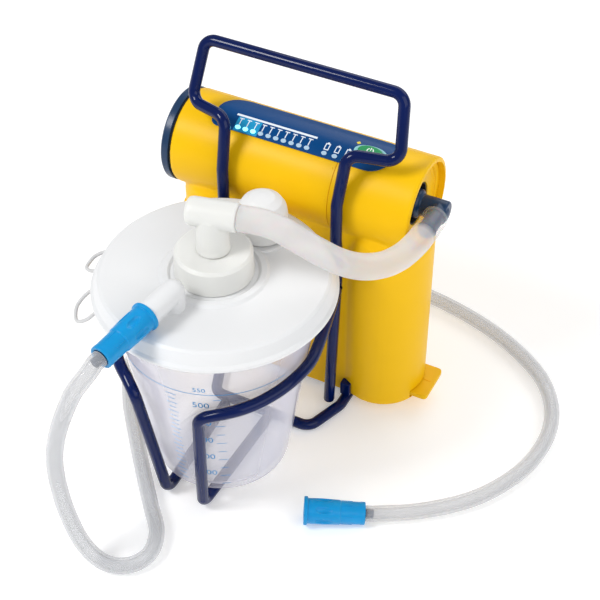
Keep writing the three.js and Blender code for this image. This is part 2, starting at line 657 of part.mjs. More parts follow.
function tee() {
  const low = CAP_TOP + GAP;
  const stem = turned([[0, low], [9.2, low], [8.6, low + 3], [8.4, TEE_Z], [0, TEE_Z]], 18);
  const head = turned([
    [0, -13], [5.4, -13], [7.2, -12], [TEE_R, -10], [TEE_R, TEE_RIGHT - 0.6], [7, TEE_RIGHT], [0, TEE_RIGHT],
  ], 18);
  const across = (geometry) =>
    alongX(geometry).rotateZ(THREE.MathUtils.degToRad(TEE_TURN)).translate(0, 0, TEE_Z);
  const bores = [post(2.6, low - 1, TEE_Z, 10), across(post(2.6, 0, TEE_RIGHT + 1, 10))];
  add(jar, "tee_elbow", "milky", cut(join(stem, across(head)), ...bores));
}

function spoutCap() {
  const dome = [
    [0, 157], [11.8, 157], [11.8, 143], [14.4, 143], [14.6, 144.5], [14.6, 157], [13.8, 162],
    [11.3, 166.6], [7, 169.6], [0, 170.8],
  ];
  const tab = box([13.6, -3, 153.5], [20, 3, 155.8]).rotateZ(THREE.MathUtils.degToRad(-8));
  add(jar, "pour_spout_cap", "white", join(turned(dome, 24), tab).translate(SPOUT_X, SPOUT_Y, 0));
}

// A thin loop of cord that hangs out from under the lid's lip.
function tetherRoute(degrees, spread, reach, drop) {
  const on = (radius, angle, z) => {
    const a = THREE.MathUtils.degToRad(angle);
    return [radius * Math.cos(a), radius * Math.sin(a), z];
  };
  const top = 129.6;
  return [
    on(61, degrees - spread, top), on((61 + reach) / 2 + 1, degrees - spread, top - drop * 0.6),
    on(reach - 1, degrees - spread * 0.6, top - drop), on(reach, degrees, top - drop * 1.15),
    on(reach - 1, degrees + spread * 0.6, top - drop), on((61 + reach) / 2 + 1, degrees + spread, top - drop * 0.6),
    on(61, degrees + spread, top),
  ];
}

function tethers() {
  const loops = [["tether_left", 186, 7, 74, 5], ["tether_front", 214, 8, 74, 10], ["tether_rear", 46, 7, 73, 3]];
  loops.forEach(([name, degrees, spread, reach, drop]) => {
    add(jar, name, "white", softTube(tetherRoute(degrees, spread, reach, drop), TETHER_R, 12, 8));
  });
}

// ---------- cords ----------

// A blue connector along +Z: a grip flange, a wide body and a narrower neck for the tube.
function connectorForm() {
  const length = CONNECTOR_LENGTH;
  const bore = 4.8;
  return ring([
    [bore, 0], [8, 0], [8, 2.4], [6.9, 3.4], [7.2, 10], [6.9, 20], [5.9, 21.6], [5.7, length],
    [2.8, length], [2.8, 15], [bore, 15],
  ], 14);
}

function cords() {
  const along = portDirection();
  const face = portFace();
  add(jar, "patient_connector", "blue", aim(connectorForm(), face, along));
  const jarPlace = new THREE.Vector3(JAR_X, JAR_Y, 0);
  const tubeStart = face.clone().add(jarPlace).addScaledVector(along, CONNECTOR_LENGTH + GAP);
  const tubeLead = tubeStart.clone().addScaledVector(along, 4);

  const tipStart = new THREE.Vector3(...TIP_START);
  const tipWay = new THREE.Vector3(...TIP_END).sub(tipStart).normalize();
  const tipEnd = tipStart.clone().addScaledVector(tipWay, CONNECTOR_LENGTH);
  add(object, "tip_connector", "blue", aim(connectorForm(), tipEnd, tipWay.clone().negate()));
  const tubeEnd = tipStart.clone().addScaledVector(tipWay, -GAP);
  const tubeTail = tubeEnd.clone().addScaledVector(tipWay, -4);
  const route = [tubeStart, tubeLead, ...TUBE_ROUTE, tubeTail, tubeEnd].map((p) => [...p]);
  add(object, "patient_tube", "clear", softTube(route, TUBE_R, 60, 8));

  const turn = THREE.MathUtils.degToRad(TEE_TURN);
  const fromTee = (reach) => [JAR_X + reach * Math.cos(turn), JAR_Y + reach * Math.sin(turn), TEE_Z];
  const toElbow = (reach) => [UNIT_X + ELBOW_X, UNIT_Y + ELBOW_END_Y - reach, BARREL_Z];
  const hoseRoute = [
    fromTee(TEE_RIGHT + GAP), fromTee(TEE_RIGHT + 3), ...HOSE_ROUTE, toElbow(3), toElbow(GAP),
  ];
  add(object, "vacuum_hose", "clear", softTube(hoseRoute, HOSE_R, 14, 10));
}

shells();
rightEnd();
leftEnd();
panel();
sideFittings();
underside();
pumpInside();
carryFrame();
cradles();
canister();
lid();
tethers();
cords();

export default object;
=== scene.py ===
import math

import bmesh
import bpy
from bpy.props import FloatProperty, FloatVectorProperty, PointerProperty
from mathutils import Matrix, Vector


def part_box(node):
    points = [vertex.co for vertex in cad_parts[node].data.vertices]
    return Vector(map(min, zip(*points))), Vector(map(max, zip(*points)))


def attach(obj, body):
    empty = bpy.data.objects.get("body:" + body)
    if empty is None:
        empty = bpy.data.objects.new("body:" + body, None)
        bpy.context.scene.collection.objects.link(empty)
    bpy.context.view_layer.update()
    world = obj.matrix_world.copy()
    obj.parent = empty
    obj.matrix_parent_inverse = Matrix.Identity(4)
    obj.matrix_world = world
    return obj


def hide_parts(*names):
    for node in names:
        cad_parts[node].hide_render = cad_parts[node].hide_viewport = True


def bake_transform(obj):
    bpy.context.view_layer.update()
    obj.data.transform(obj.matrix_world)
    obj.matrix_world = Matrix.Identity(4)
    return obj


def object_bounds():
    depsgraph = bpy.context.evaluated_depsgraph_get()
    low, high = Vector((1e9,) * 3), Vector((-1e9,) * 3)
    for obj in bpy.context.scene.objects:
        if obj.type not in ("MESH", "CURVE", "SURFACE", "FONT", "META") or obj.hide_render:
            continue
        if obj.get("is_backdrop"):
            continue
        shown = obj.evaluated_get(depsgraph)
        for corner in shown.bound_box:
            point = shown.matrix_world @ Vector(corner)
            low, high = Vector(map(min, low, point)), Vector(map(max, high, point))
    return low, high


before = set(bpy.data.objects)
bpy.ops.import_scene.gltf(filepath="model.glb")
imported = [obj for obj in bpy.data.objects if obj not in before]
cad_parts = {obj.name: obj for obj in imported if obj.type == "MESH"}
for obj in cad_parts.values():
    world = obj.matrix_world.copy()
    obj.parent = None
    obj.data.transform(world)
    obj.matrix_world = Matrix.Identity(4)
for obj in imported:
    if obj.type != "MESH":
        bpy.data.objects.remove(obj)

bl_info = {
    "name": "Suction Pump",
    "version": (1, 0, 0),
    "blender": (4, 5, 0),
    "location": "3D View > Sidebar > Suction Pump",
    "description": "Builds a portable suction pump with its canister, hose and tube",
    "category": "Object",
}

CAD_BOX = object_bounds()
MM = 0.001


def middle(node):
    """The middle of a CAD node's box, in millimetres."""
    low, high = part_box(node)
    return (low + high) / (2 * MM)


BARREL_AXIS = middle("right_end_cap")
FRAME_X = middle("base_plate").x
UNIT = Vector((FRAME_X - 1.2, BARREL_AXIS.y, 0))  # under the housing's middle
JAR = Vector((middle("canister").x, middle("canister").y, 0))
BARREL_Z = BARREL_AXIS.z
CLEARANCE = 0.3
SPIGOT_TURN = -100  # degrees from +X to the way that the lid's spigot points
UP = Vector((0, 0, 1))


# ---------- sizes and colours ----------

class PumpSizes(bpy.types.PropertyGroup):
    barrel_radius: FloatProperty(
        name="Barrel radius", description="Radius of the horizontal barrel, mm", default=27.6, min=20, max=35)
    column_radius: FloatProperty(
        name="Column radius", description="Radius of the two end columns, mm", default=25.5, min=20, max=30)
    rod_radius: FloatProperty(
        name="Rod radius", description="Radius of the bent wire of the frame, mm", default=3.3, min=2, max=5)
    lid_radius: FloatProperty(
        name="Lid radius", description="Radius of the canister's lid, mm", default=65.0, min=55, max=75)
    hose_radius: FloatProperty(
        name="Hose radius", description="Outer radius of the vacuum hose, mm", default=7.0, min=5, max=9)
    tube_radius: FloatProperty(
        name="Tube radius", description="Outer radius of the patient tube, mm", default=4.5, min=3, max=6)


def colour_property(name, description, default):
    return FloatVectorProperty(
        name=name, description=description, subtype="COLOR", size=3, min=0, max=1, default=default)


class PumpColours(bpy.types.PropertyGroup):
    housing: colour_property("Housing", "Yellow of the moulded housing", (0.93, 0.54, 0.003))
    rod: colour_property("Frame", "Navy of the coated wire", (0.0003, 0.008, 0.075))
    port: colour_property("Port", "Blue of the vacuum port and the regulator knob", (0.010, 0.040, 0.105))
    panel: colour_property("Panel", "Blue of the control panel", (0.0005, 0.055, 0.20))
    print: colour_property("Graduations", "Blue of the canister's scale", (0.02, 0.26, 0.60))
    connector: colour_property("Connectors", "Blue of the tube's connectors", (0.002, 0.29, 0.64))


# ---------- shader nodes ----------

class Value:
    """A shader socket whose sums, products and comparisons add their own Math nodes."""

    def __init__(self, finish, socket):
        self.finish = finish
        self.socket = socket

    def math(self, operation, *others):
        inputs = {i: v for i, v in enumerate((self, *others))}
        return self.finish.node("ShaderNodeMath", {"operation": operation}, inputs, 0)

    def __add__(self, other):
        return self.math("ADD", other)

    def __sub__(self, other):
        return self.math("SUBTRACT", other)

    def __mul__(self, other):
        return self.math("MULTIPLY", other)

    def __truediv__(self, other):
        return self.math("DIVIDE", other)

    def __rsub__(self, other):
        return self.finish.node("ShaderNodeMath", {"operation": "SUBTRACT"}, {0: other, 1: self}, 0)

    __radd__ = __add__
    __rmul__ = __mul__

    def __lt__(self, other):
        return self.math("LESS_THAN", other)

    def __gt__(self, other):
        return self.math("GREATER_THAN", other)

    def __abs__(self):
        return self.math("ABSOLUTE")

    def larger(self, other):
        return self.math("MAXIMUM", other)

    def smaller(self, other):
        return self.math("MINIMUM", other)


class Finish:
    """A material with one Principled surface, and the one method that adds nodes to it."""

    def __init__(self, name, **constants):
        self.material = bpy.data.materials.new(name)
        self.material.use_nodes = True
        self.tree = self.material.node_tree
        self.tree.nodes.clear()
        self.surface = self.tree.nodes.new("ShaderNodeBsdfPrincipled")
        self.output = self.tree.nodes.new("ShaderNodeOutputMaterial")
        self.tree.links.new(self.surface.outputs[0], self.output.inputs["Surface"])
        for socket, value in constants.items():
            self.surface.inputs[socket.replace("_", " ")].default_value = value

    def node(self, kind, settings=None, inputs=None, output=None):
        """Adds a node; gives the node, or one of its outputs as a Value."""
        made = self.tree.nodes.new(kind)
        for key, value in (settings or {}).items():
            setattr(made, key, value)
        for key, value in (inputs or {}).items():
            self.feed(made.inputs[key], value)
        return made if output is None else Value(self, made.outputs[output])

    def feed(self, socket, value):
        if isinstance(value, Value):
            self.tree.links.new(value.socket, socket)
        else:
            socket.default_value = value

    def drive(self, name, value):
        self.feed(self.surface.inputs[name], value)

    def place(self):
        """Object coordinates, in metres."""
        return self.node("ShaderNodeTexCoord", None, None, "Object")

    def parts(self):
        """Object coordinates as x, y and z, in millimetres."""
        split = self.node("ShaderNodeSeparateXYZ", None, {0: self.place()})
        return [Value(self, split.outputs[i]) * 1000 for i in range(3)]

    def noise(self, scale, detail=3.0, stretch=(1, 1, 1)):
        mapped = self.node("ShaderNodeMapping", None, {"Vector": self.place(), "Scale": stretch}, 0)
        return self.node("ShaderNodeTexNoise", None, {"Vector": mapped, "Scale": scale, "Detail": detail}, 0)

    def mix(self, factor, first, second):
        """Two colours mixed."""
        made = self.node("ShaderNodeMix", {"data_type": "RGBA"}, {0: factor})
        for socket, value in ((made.inputs[6], first), (made.inputs[7], second)):
            self.feed(socket, value if isinstance(value, Value) else (*value, 1))
        return Value(self, made.outputs[2])

    def bump(self, height, strength, distance=0.0002):
        values = {"Height": height, "Strength": strength, "Distance": distance}
        self.drive("Normal", self.node("ShaderNodeBump", None, values, 0))


def moulded(name, colour, rough, grain=900.0, depth=0.08, spread=0.05, **constants):
    """Moulded plastic or rubber: a fine grain, faint cloudy colour and uneven gloss."""
    finish = Finish(name, **constants)
    clouds = finish.noise(35)
    fine = finish.noise(grain, 2)
    dark = [c * (1 - spread) for c in colour]
    light = [min(1, c * (1 + spread)) for c in colour]
    finish.drive("Base Color", finish.mix(clouds, dark, light))
    finish.drive("Roughness", rough + (clouds - 0.5) * 0.12 + (fine - 0.5) * 0.06)
    finish.bump(fine, depth)
    return finish


def make_finishes():
    """Every finish on the object, by a short name."""
    colours = bpy.context.scene.pump_colours
    made = {
        "yellow": moulded(
            "Yellow moulding", colours.housing, 0.38, 1400, 0.06, 0.03, Specular_IOR_Level=0.15),
        "navy_rod": navy_coat(colours.rod),
        "port": moulded("Port blue", colours.port, 0.3, 1100, 0.06, 0.12, Specular_IOR_Level=0.35),
        "black": moulded("Black moulding", (0.012, 0.013, 0.016), 0.55, 1100, 0.15, 0.2),
        "rubber": moulded("Black rubber", (0.014, 0.014, 0.014), 0.78, 1700, 0.3, 0.2),
        "green": button_print(),
        "panel": panel_print(colours.panel),
        "lamp": lamp_lens("Lamp lens", (0.42, 0.58, 0.72), 0.05),
        "lamp_lit": lamp_lens("Lit lamp", (0.25, 0.80, 1.0), 1.6),
        "white": moulded("White moulding", (0.80, 0.805, 0.81), 0.42, 1200, 0.06, 0.015),
        "milky": milky_moulding("Milky moulding", (0.77, 0.77, 0.74)),
        "silicone_white": moulded("White silicone", (0.82, 0.82, 0.815), 0.5, 1500, 0.08, 0.015),
        "clear": soft_clear("Clear canister", (0.74, 0.74, 0.86), 0.05, 0.045, 0.0),
        "clear_part": soft_clear("Clear float cage", (0.80, 0.80, 0.76), 0.16, 0.3, 0.0),
        "print": moulded("Scale print", colours.print, 0.5, 1500, 0.05, 0.05),
        "vinyl": connector_vinyl(colours.connector),
        "tube": soft_clear("Clear tube", (0.66, 0.67, 0.69), 0.08, 0.26, 0.0),
        "hose": soft_clear("Silicone hose", (0.82, 0.80, 0.79), 0.34, 0.55, 0.3, ELBOW.y - 20),
        "tether": moulded("White cord", (0.66, 0.66, 0.66), 0.5, 1500, 0.08, 0.02),
        "steel": metal("Steel", (0.62, 0.63, 0.65), 0.28, (1, 1, 14)),
        "screw": metal("Zinc screw", (0.60, 0.60, 0.57), 0.34, (8, 1, 1)),
        "brass": metal("Brass", (0.72, 0.50, 0.18), 0.26, (12, 1, 1)),
        "board": circuit_print(),
        "battery": moulded("Battery wrap", (0.05, 0.14, 0.36), 0.32, 500, 0.05, 0.15),
        "paper": moulded("Filter paper", (0.88, 0.88, 0.85), 0.9, 2200, 0.6, 0.04),
        "float": moulded("Float", (0.42, 0.62, 0.82), 0.3, 1200, 0.05, 0.05),
    }
    return made


def navy_coat(colour):
    """Powder coat on steel: orange peel, a clear gloss and slightly worn tone."""
    finish = Finish("Navy coat", Specular_IOR_Level=0.1, Coat_Weight=0.3, Coat_Roughness=0.05)
    peel = finish.noise(420, 1)
    tone = finish.noise(28)
    finish.drive("Base Color", finish.mix(tone, [c * 0.75 for c in colour], [c * 1.3 for c in colour]))
    finish.drive("Roughness", 0.2 + (tone - 0.5) * 0.1)
    finish.bump(peel, 0.06)
    return finish


def lamp_lens(name, colour, glow):
    finish = moulded(name, colour, 0.3, 1500, 0.04, 0.06)
    finish.surface.inputs["Emission Color"].default_value = (*colour, 1)
    finish.surface.inputs["Emission Strength"].default_value = glow
    return finish


def milky_moulding(name, colour):
    finish = moulded(name, colour, 0.4, 1300, 0.06, 0.02)
    finish.surface.inputs["Subsurface Weight"].default_value = 0.35
    finish.surface.inputs["Subsurface Radius"].default_value = (1.0, 1.0, 0.9)
    finish.surface.inputs["Subsurface Scale"].default_value = 0.004
    return finish


def soft_clear(name, colour, rough, cover, glow, clear_from=None):
    """Hazy see-through wall: it covers a part of what is behind it, and more where it is seen edge on.

    Past the depth clear_from, in millimetres, it is stretched thin and covers less.
    """
    finish = Finish(name, IOR=1.45, Subsurface_Weight=glow, Subsurface_Scale=0.006)
    cloud = finish.noise(45)
    fine = finish.noise(900, 2)
    finish.drive("Base Color", finish.mix(cloud, [c * 0.97 for c in colour], colour))
    finish.drive("Roughness", rough + (fine - 0.5) * 0.08)
    facing = finish.node("ShaderNodeLayerWeight", None, {"Blend": 0.45}, "Facing")
    hazy = (cover + facing * facing * (1 - cover)).smaller(1.0)
    if clear_from is not None:
        thin = ((finish.parts()[1] - clear_from) / 6).larger(0.0).smaller(0.7)
        hazy = hazy * (1 - thin)
    finish.drive("Alpha", hazy)
    finish.bump(fine, 0.01)
    return finish


def connector_vinyl(colour):
    finish = Finish(
        "Connector vinyl", Specular_IOR_Level=0.25, Coat_Weight=0.1,
        Subsurface_Weight=0.15, Subsurface_Scale=0.003)
    cloud = finish.noise(60)
    darker = [c * 0.85 for c in colour]
    lighter = [min(1, c * 1.12) for c in colour]
    finish.drive("Base Color", finish.mix(cloud, darker, lighter))
    finish.drive("Roughness", 0.33 + (cloud - 0.5) * 0.12)
    finish.bump(finish.noise(1300, 2), 0.06)
    return finish


def metal(name, colour, rough, stretch):
    finish = Finish(name, Metallic=1.0)
    lines = finish.noise(160, 3, stretch)
    finish.drive("Base Color", finish.mix(lines, [c * 0.85 for c in colour], colour))
    finish.drive("Roughness", rough + (lines - 0.5) * 0.16)
    finish.bump(lines, 0.06)
    return finish


def circuit_print():
    """Solder mask with a fine grid of tracks and tinned pads."""
    finish = Finish("Circuit board")
    x, y, _ = finish.parts()
    across = abs((x / 2.5).math("FRACT") - 0.5) < 0.07
    pads = (abs((x / 5.0).math("FRACT") - 0.5) < 0.12) * (abs((y / 5.0).math("FRACT") - 0.5) < 0.12)
    masked = finish.mix(across, (0.008, 0.09, 0.035), (0.02, 0.17, 0.07))
    finish.drive("Base Color", finish.mix(pads, masked, (0.7, 0.7, 0.66)))
    finish.drive("Metallic", pads)
    finish.drive("Roughness", 0.45 - pads * 0.15)
    return finish


# The panel's layout: distances along the barrel from the housing's middle, angles in degrees round it.
PANEL_R = 28.7
LED_FIRST = -33.4
LED_PITCH = 4.67
LED_ANGLE = 63.0
BATTERY_LAMPS = (19.0, 25.2, 31.4)
BUTTON_X = 42.5
BUTTON_ANGLE = 80.0


def panel_print(colour):
    """Printed overlay: a scale bar with ticks to each lamp, battery symbols and a ring round the button;
    round the lit lamps the blue is painted lighter as their glow.
    """
    finish = Finish("Panel print", Specular_IOR_Level=0.15, Coat_Weight=0.05, Coat_Roughness=0.12)
    x, y, z = finish.parts()
    along = x - UNIT.x
    angle = (z - BARREL_Z).math("ARCTAN2", UNIT.y - y) * math.degrees(1)
    arc = (angle - LED_ANGLE) * (math.radians(1) * PANEL_R)

    def band(value, low, high):
        return (value > low) * (value < high)

    bar = band(along, -37.5, 11.5) * band(arc, 7.2, 8.6)
    nearest = abs(((along - LED_FIRST) / LED_PITCH + 0.5).math("FRACT") - 0.5) * LED_PITCH
    scale = band(along, LED_FIRST - LED_PITCH / 2, LED_FIRST + 9.5 * LED_PITCH)
    ticks = scale * (nearest < 0.28) * band(arc, 1.6, 6.2)
    heads = scale * (nearest < 1.35) * band(arc, 5.6, 6.2)
    white = bar.larger(ticks).larger(heads)
    for place in BATTERY_LAMPS:
        inside = (abs(along - place) < 0.85) * band(arc, 2.7, 5.9)
        outside = (abs(along - place) < 1.4) * band(arc, 2.1, 6.5)
        knob = (abs(along - place) < 0.6) * band(arc, 6.4, 7.2)
        white = white.larger(outside - inside).larger(knob)
    # Painted light: the blue round the three lit lamps is painted lighter, as their glow falling on the
    # panel.
    glow = band(along, LED_FIRST - 2.2, LED_FIRST + 2.6 * LED_PITCH) * band(arc, -2.4, 7.0)
    edge = finish.noise(30, 2)
    base = finish.mix(edge, [c * 0.85 for c in colour], [c * 1.15 for c in colour])
    base = finish.mix(glow * 0.55, base, (0.03, 0.50, 0.85))
    reach = (along - BUTTON_X) / 9.4
    rise = (angle - BUTTON_ANGLE) * (math.radians(1) * PANEL_R / 5.4)
    far = reach * reach + rise * rise
    base = finish.mix(far < 1.0, base, (0.30, 0.62, 0.66))
    spark_x = abs(along - 33.5)
    spark_y = abs(arc - 13.5)
    base = finish.mix((spark_x + spark_y) < 1.3, base, (0.85, 0.66, 0.03))
    finish.drive("Base Color", finish.mix(white, base, (0.80, 0.86, 0.92)))
    finish.drive("Roughness", 0.3 + (edge - 0.5) * 0.1 - white * 0.05)
    finish.bump(white + finish.noise(1500, 2) * 0.2, 0.12, 0.0001)
    return finish


def button_print():
    """Green button with a plain stand-by symbol: an open ring and a stroke."""
    finish = Finish("Green button", Coat_Weight=0.2)
    x, y, z = finish.parts()
    along = x - UNIT.x - BUTTON_X
    angle = (z - BARREL_Z).math("ARCTAN2", UNIT.y - y) * math.degrees(1)
    arc = (angle - BUTTON_ANGLE) * (math.radians(1) * 30)
    far = (along * along + arc * arc).math("SQRT")
    circle = (abs(far - 1.7) < 0.3) * (1 - (abs(along) < 0.75) * (arc > 0))
    stroke = (abs(along) < 0.27) * (arc > 0.1) * (arc < 2.3)
    tone = finish.noise(80)
    base = finish.mix(tone, (0.004, 0.25, 0.07), (0.01, 0.34, 0.11))
    finish.drive("Base Color", finish.mix(circle.larger(stroke), base, (0.85, 0.95, 0.88)))
    finish.drive("Roughness", 0.35 + (tone - 0.5) * 0.1)
    finish.bump(finish.noise(1500, 2), 0.05)
    return finish


FINISHES = {}


# ---------- mesh tools ----------

def rounded_outline(points, radius, closed=True, steps=3):
    """An outline whose corners are turned into small arcs, as [a, b] pairs."""
    at = [Vector(p) for p in points]
    out = []
    count = len(at)
    for i, corner in enumerate(at):
        if not closed and i in (0, count - 1):
            out.append(corner)
            continue
        back = at[i - 1] - corner
        on = at[(i + 1) % count] - corner
        if back.length < 1e-6 or on.length < 1e-6:
            out.append(corner)
            continue
        turn = math.pi - back.angle(on)
        if turn < math.radians(14):
            out.append(corner)
            continue
        reach = min(radius * math.tan(turn / 2), 0.45 * back.length, 0.45 * on.length)
        start = corner + back.normalized() * reach
        end = corner + on.normalized() * reach
        for k in range(steps + 1):
            t = k / steps
            out.append(start * (1 - t) ** 2 + corner * 2 * t * (1 - t) + end * t ** 2)
    return out


def spun(profile, radius=0.4, segments=96, steps=3):
    """A bmesh turned about Z from [radius, height] pairs that close up, or start and end on the axis."""
    on_axis = profile[0][0] == 0
    outline = rounded_outline(profile, radius, not on_axis, steps)
    bm = bmesh.new()
    verts = [bm.verts.new((max(p[0], 0), 0, p[1])) for p in outline]
    pairs = list(zip(verts, verts[1:]))
    if not on_axis:
        pairs.append((verts[-1], verts[0]))
    edges = [bm.edges.new(pair) for pair in pairs]
    bmesh.ops.spin(
        bm, geom=verts + edges, cent=(0, 0, 0), axis=(0, 0, 1), angle=2 * math.pi,
        steps=segments, use_merge=True, use_duplicate=False)
    return tidy(bm)


def tidy(bm, distance=0.0005):
    bmesh.ops.remove_doubles(bm, verts=bm.verts, dist=distance)
    bmesh.ops.recalc_face_normals(bm, faces=bm.faces)
    return bm


def prism(outline, depth, edge=0.5, segments=3):
    """A bmesh of an outline in X and Y, grown to +Z, with its sharp edges rounded."""
    bm = bmesh.new()
    face = bm.faces.new([bm.verts.new((p[0], p[1], 0)) for p in outline])
    grown = bmesh.ops.extrude_face_region(bm, geom=[face])
    moved = [g for g in grown["geom"] if isinstance(g, bmesh.types.BMVert)]
    bmesh.ops.translate(bm, verts=moved, vec=(0, 0, depth))
    bmesh.ops.recalc_face_normals(bm, faces=bm.faces)
    return round_edges(bm, edge, segments)


def round_edges(bm, width, segments=3, sharper=50):
    if width > 0:
        sharp = [e for e in bm.edges if e.calc_face_angle(0) > math.radians(sharper)]
        bmesh.ops.bevel(
            bm, geom=sharp, offset=width, segments=segments, profile=0.5, affect="EDGES",
            material=-1, offset_type="OFFSET", clamp_overlap=True)
    return bm


def block(low, high, edge=0.5, segments=3):
    """A bmesh box between two corners, with rounded edges."""
    bm = bmesh.new()
    low, high = Vector(low), Vector(high)
    bmesh.ops.create_cube(bm, size=1, matrix=Matrix.LocRotScale((low + high) / 2, None, high - low))
    return round_edges(bm, edge, segments)


def moved(bm, by, turn=None):
    if turn is not None:
        bmesh.ops.transform(bm, matrix=turn.to_matrix().to_4x4(), verts=bm.verts)
    bmesh.ops.translate(bm, verts=bm.verts, vec=by)
    return bm


def along_x(bm, by=(0, 0, 0)):
    """Lays a Z-turned bmesh along X."""
    return moved(bm, by, UP.rotation_difference(Vector((1, 0, 0))))


def along_y(bm, by=(0, 0, 0)):
    return moved(bm, by, UP.rotation_difference(Vector((0, 1, 0))))


def turned_about_z(bm, degrees):
    turn = Matrix.Rotation(math.radians(degrees), 3, "Z")
    bmesh.ops.rotate(bm, verts=bm.verts, cent=(0, 0, 0), matrix=turn)


def aimed(bm, start, direction):
    return moved(bm, start, UP.rotation_difference(Vector(direction).normalized()))


def joined(*parts):
    """Several bmeshes as one."""
    whole = parts[0]
    for part in parts[1:]:
        mesh = bpy.data.meshes.new("part")
        part.to_mesh(mesh)
        part.free()
        whole.from_mesh(mesh)
        bpy.data.meshes.remove(mesh)
    return whole


def as_object(bm, name):
    mesh = bpy.data.meshes.new(name)
    bm.to_mesh(mesh)
    bm.free()
    made = bpy.data.objects.new(name, mesh)
    bpy.context.scene.collection.objects.link(made)
    return made


def modified(bm, *modifiers, tools=()):
    """A bmesh after modifiers, each as (type, settings); {"object": i} stands for the i-th tool."""
    made = as_object(bm, "work")
    cutters = [as_object(tool, "tool") for tool in tools]
    for kind, settings in modifiers:
        modifier = made.modifiers.new(kind, kind)
        for key, value in settings.items():
            setattr(modifier, key, cutters[value] if key == "object" else value)
    ready = made.evaluated_get(bpy.context.evaluated_depsgraph_get())
    mesh = bpy.data.meshes.new_from_object(ready)
    out = bmesh.new()
    out.from_mesh(mesh)
    bpy.data.meshes.remove(mesh)
    for thing in [made, *cutters]:
        bpy.data.objects.remove(thing)
    return out


def melted(bm, voxel, repeat=4):
    """Overlapping solids melted into one skin with small fillets."""
    return modified(
        bm,
        ("REMESH", {"mode": "VOXEL", "voxel_size": voxel, "use_smooth_shade": True}),
        ("SMOOTH", {"factor": 0.5, "iterations": repeat}))


def combined(bm, operation, tools):
    steps = [
        ("BOOLEAN", {"operation": operation, "solver": "EXACT", "object": i})
        for i in range(len(tools))]
    return modified(bm, *steps, tools=tools)


def cut(bm, *tools):
    return combined(bm, "DIFFERENCE", tools)


def fused(bm, *others):
    return combined(bm, "UNION", others)


def place(name, bm, finish, body, nodes=(), slot=None, even=True, sharp=38):
    """Turns a bmesh in millimetres into a finished piece in metres."""
    bmesh.ops.scale(bm, vec=(MM, MM, MM), verts=bm.verts)
    mesh = bpy.data.meshes.new(name)
    bm.to_mesh(mesh)
    bm.free()
    mesh.shade_smooth()
    mesh.set_sharp_from_angle(angle=math.radians(sharp))
    piece = bpy.data.objects.new(name, mesh)
    bpy.context.scene.collection.objects.link(piece)
    mesh.materials.append(FINISHES[finish].material)
    if even:
        level = piece.modifiers.new("Even normals", "WEIGHTED_NORMAL")
        level.keep_sharp = True
    if body:
        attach(piece, body)
    if nodes:
        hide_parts(*nodes)
    return piece


def smooth_route(points, step=1.0):
    """Points along a smooth curve through a route, close together."""
    at = [Vector(p) for p in points]
    padded = [2 * at[0] - at[1], *at, 2 * at[-1] - at[-2]]
    out = []
    for i in range(len(at) - 1):
        a, b, c, d = padded[i:i + 4]
        count = max(1, round((c - b).length / step))
        # Uneven spacing of the knots keeps the curve from looping in short stretches.
        t0 = 0.0
        t1 = t0 + max((b - a).length, 1e-4) ** 0.5
        t2 = t1 + (c - b).length ** 0.5
        t3 = t2 + max((d - c).length, 1e-4) ** 0.5
        for k in range(count):
            t = t1 + (t2 - t1) * k / count
            a1 = a * ((t1 - t) / (t1 - t0)) + b * ((t - t0) / (t1 - t0))
            a2 = b * ((t2 - t) / (t2 - t1)) + c * ((t - t1) / (t2 - t1))
            a3 = c * ((t3 - t) / (t3 - t2)) + d * ((t - t2) / (t3 - t2))
            b1 = a1 * ((t2 - t) / (t2 - t0)) + a2 * ((t - t0) / (t2 - t0))
            b2 = a2 * ((t3 - t) / (t3 - t1)) + a3 * ((t - t1) / (t3 - t1))
            out.append(b1 * ((t2 - t) / (t2 - t1)) + b2 * ((t - t1) / (t2 - t1)))
    out.append(at[-1])
    return out


def relaxed(path, passes=4):
    """The same path with its small kinks evened out; its ends stay."""
    for _ in range(passes):
        path = [path[0], *[(a + b * 2 + c) / 4 for a, b, c in zip(path, path[1:], path[2:])], path[-1]]
    return path


def rounded_path(corners, radius, step=1.2):
    """A polyline whose inner corners are arcs of a radius."""
    at = [Vector(c) for c in corners]
    path = [at[0]]
    for before, here, after in zip(at, at[1:], at[2:]):
        back = (before - here).normalized()
        on = (after - here).normalized()
        half = back.angle(on) / 2
        reach = radius / math.tan(half)
        centre = here + (back + on).normalized() * (radius / math.sin(half))
        first = here + back * reach - centre
        last = here + on * reach - centre
        sweep = first.angle(last)
        count = max(2, round(radius * sweep / step))
        for k in range(count + 1):
            t = k / count
            turned = first * math.sin((1 - t) * sweep) + last * math.sin(t * sweep)
            path.append(centre + turned / math.sin(sweep))
    path.append(at[-1])
    return path


def swept(path, radius, sides=6, caps=True, widths=None):
    """A bmesh bar along a path of points, made by a curve's round bevel."""
    curve = bpy.data.curves.new("bar", "CURVE")
    curve.dimensions = "3D"
    curve.bevel_depth = radius
    curve.bevel_resolution = sides
    curve.use_fill_caps = caps
    spline = curve.splines.new("POLY")
    spline.points.add(len(path) - 1)
    for i, (point, at) in enumerate(zip(spline.points, path)):
        point.co = (*at, 1)
        point.radius = widths[i] if widths else 1
    made = bpy.data.objects.new("bar", curve)
    bpy.context.scene.collection.objects.link(made)
    ready = made.evaluated_get(bpy.context.evaluated_depsgraph_get())
    mesh = bpy.data.meshes.new_from_object(ready)
    bm = bmesh.new()
    bm.from_mesh(mesh)
    bpy.data.meshes.remove(mesh)
    bpy.data.objects.remove(made)
    return tidy(bm)


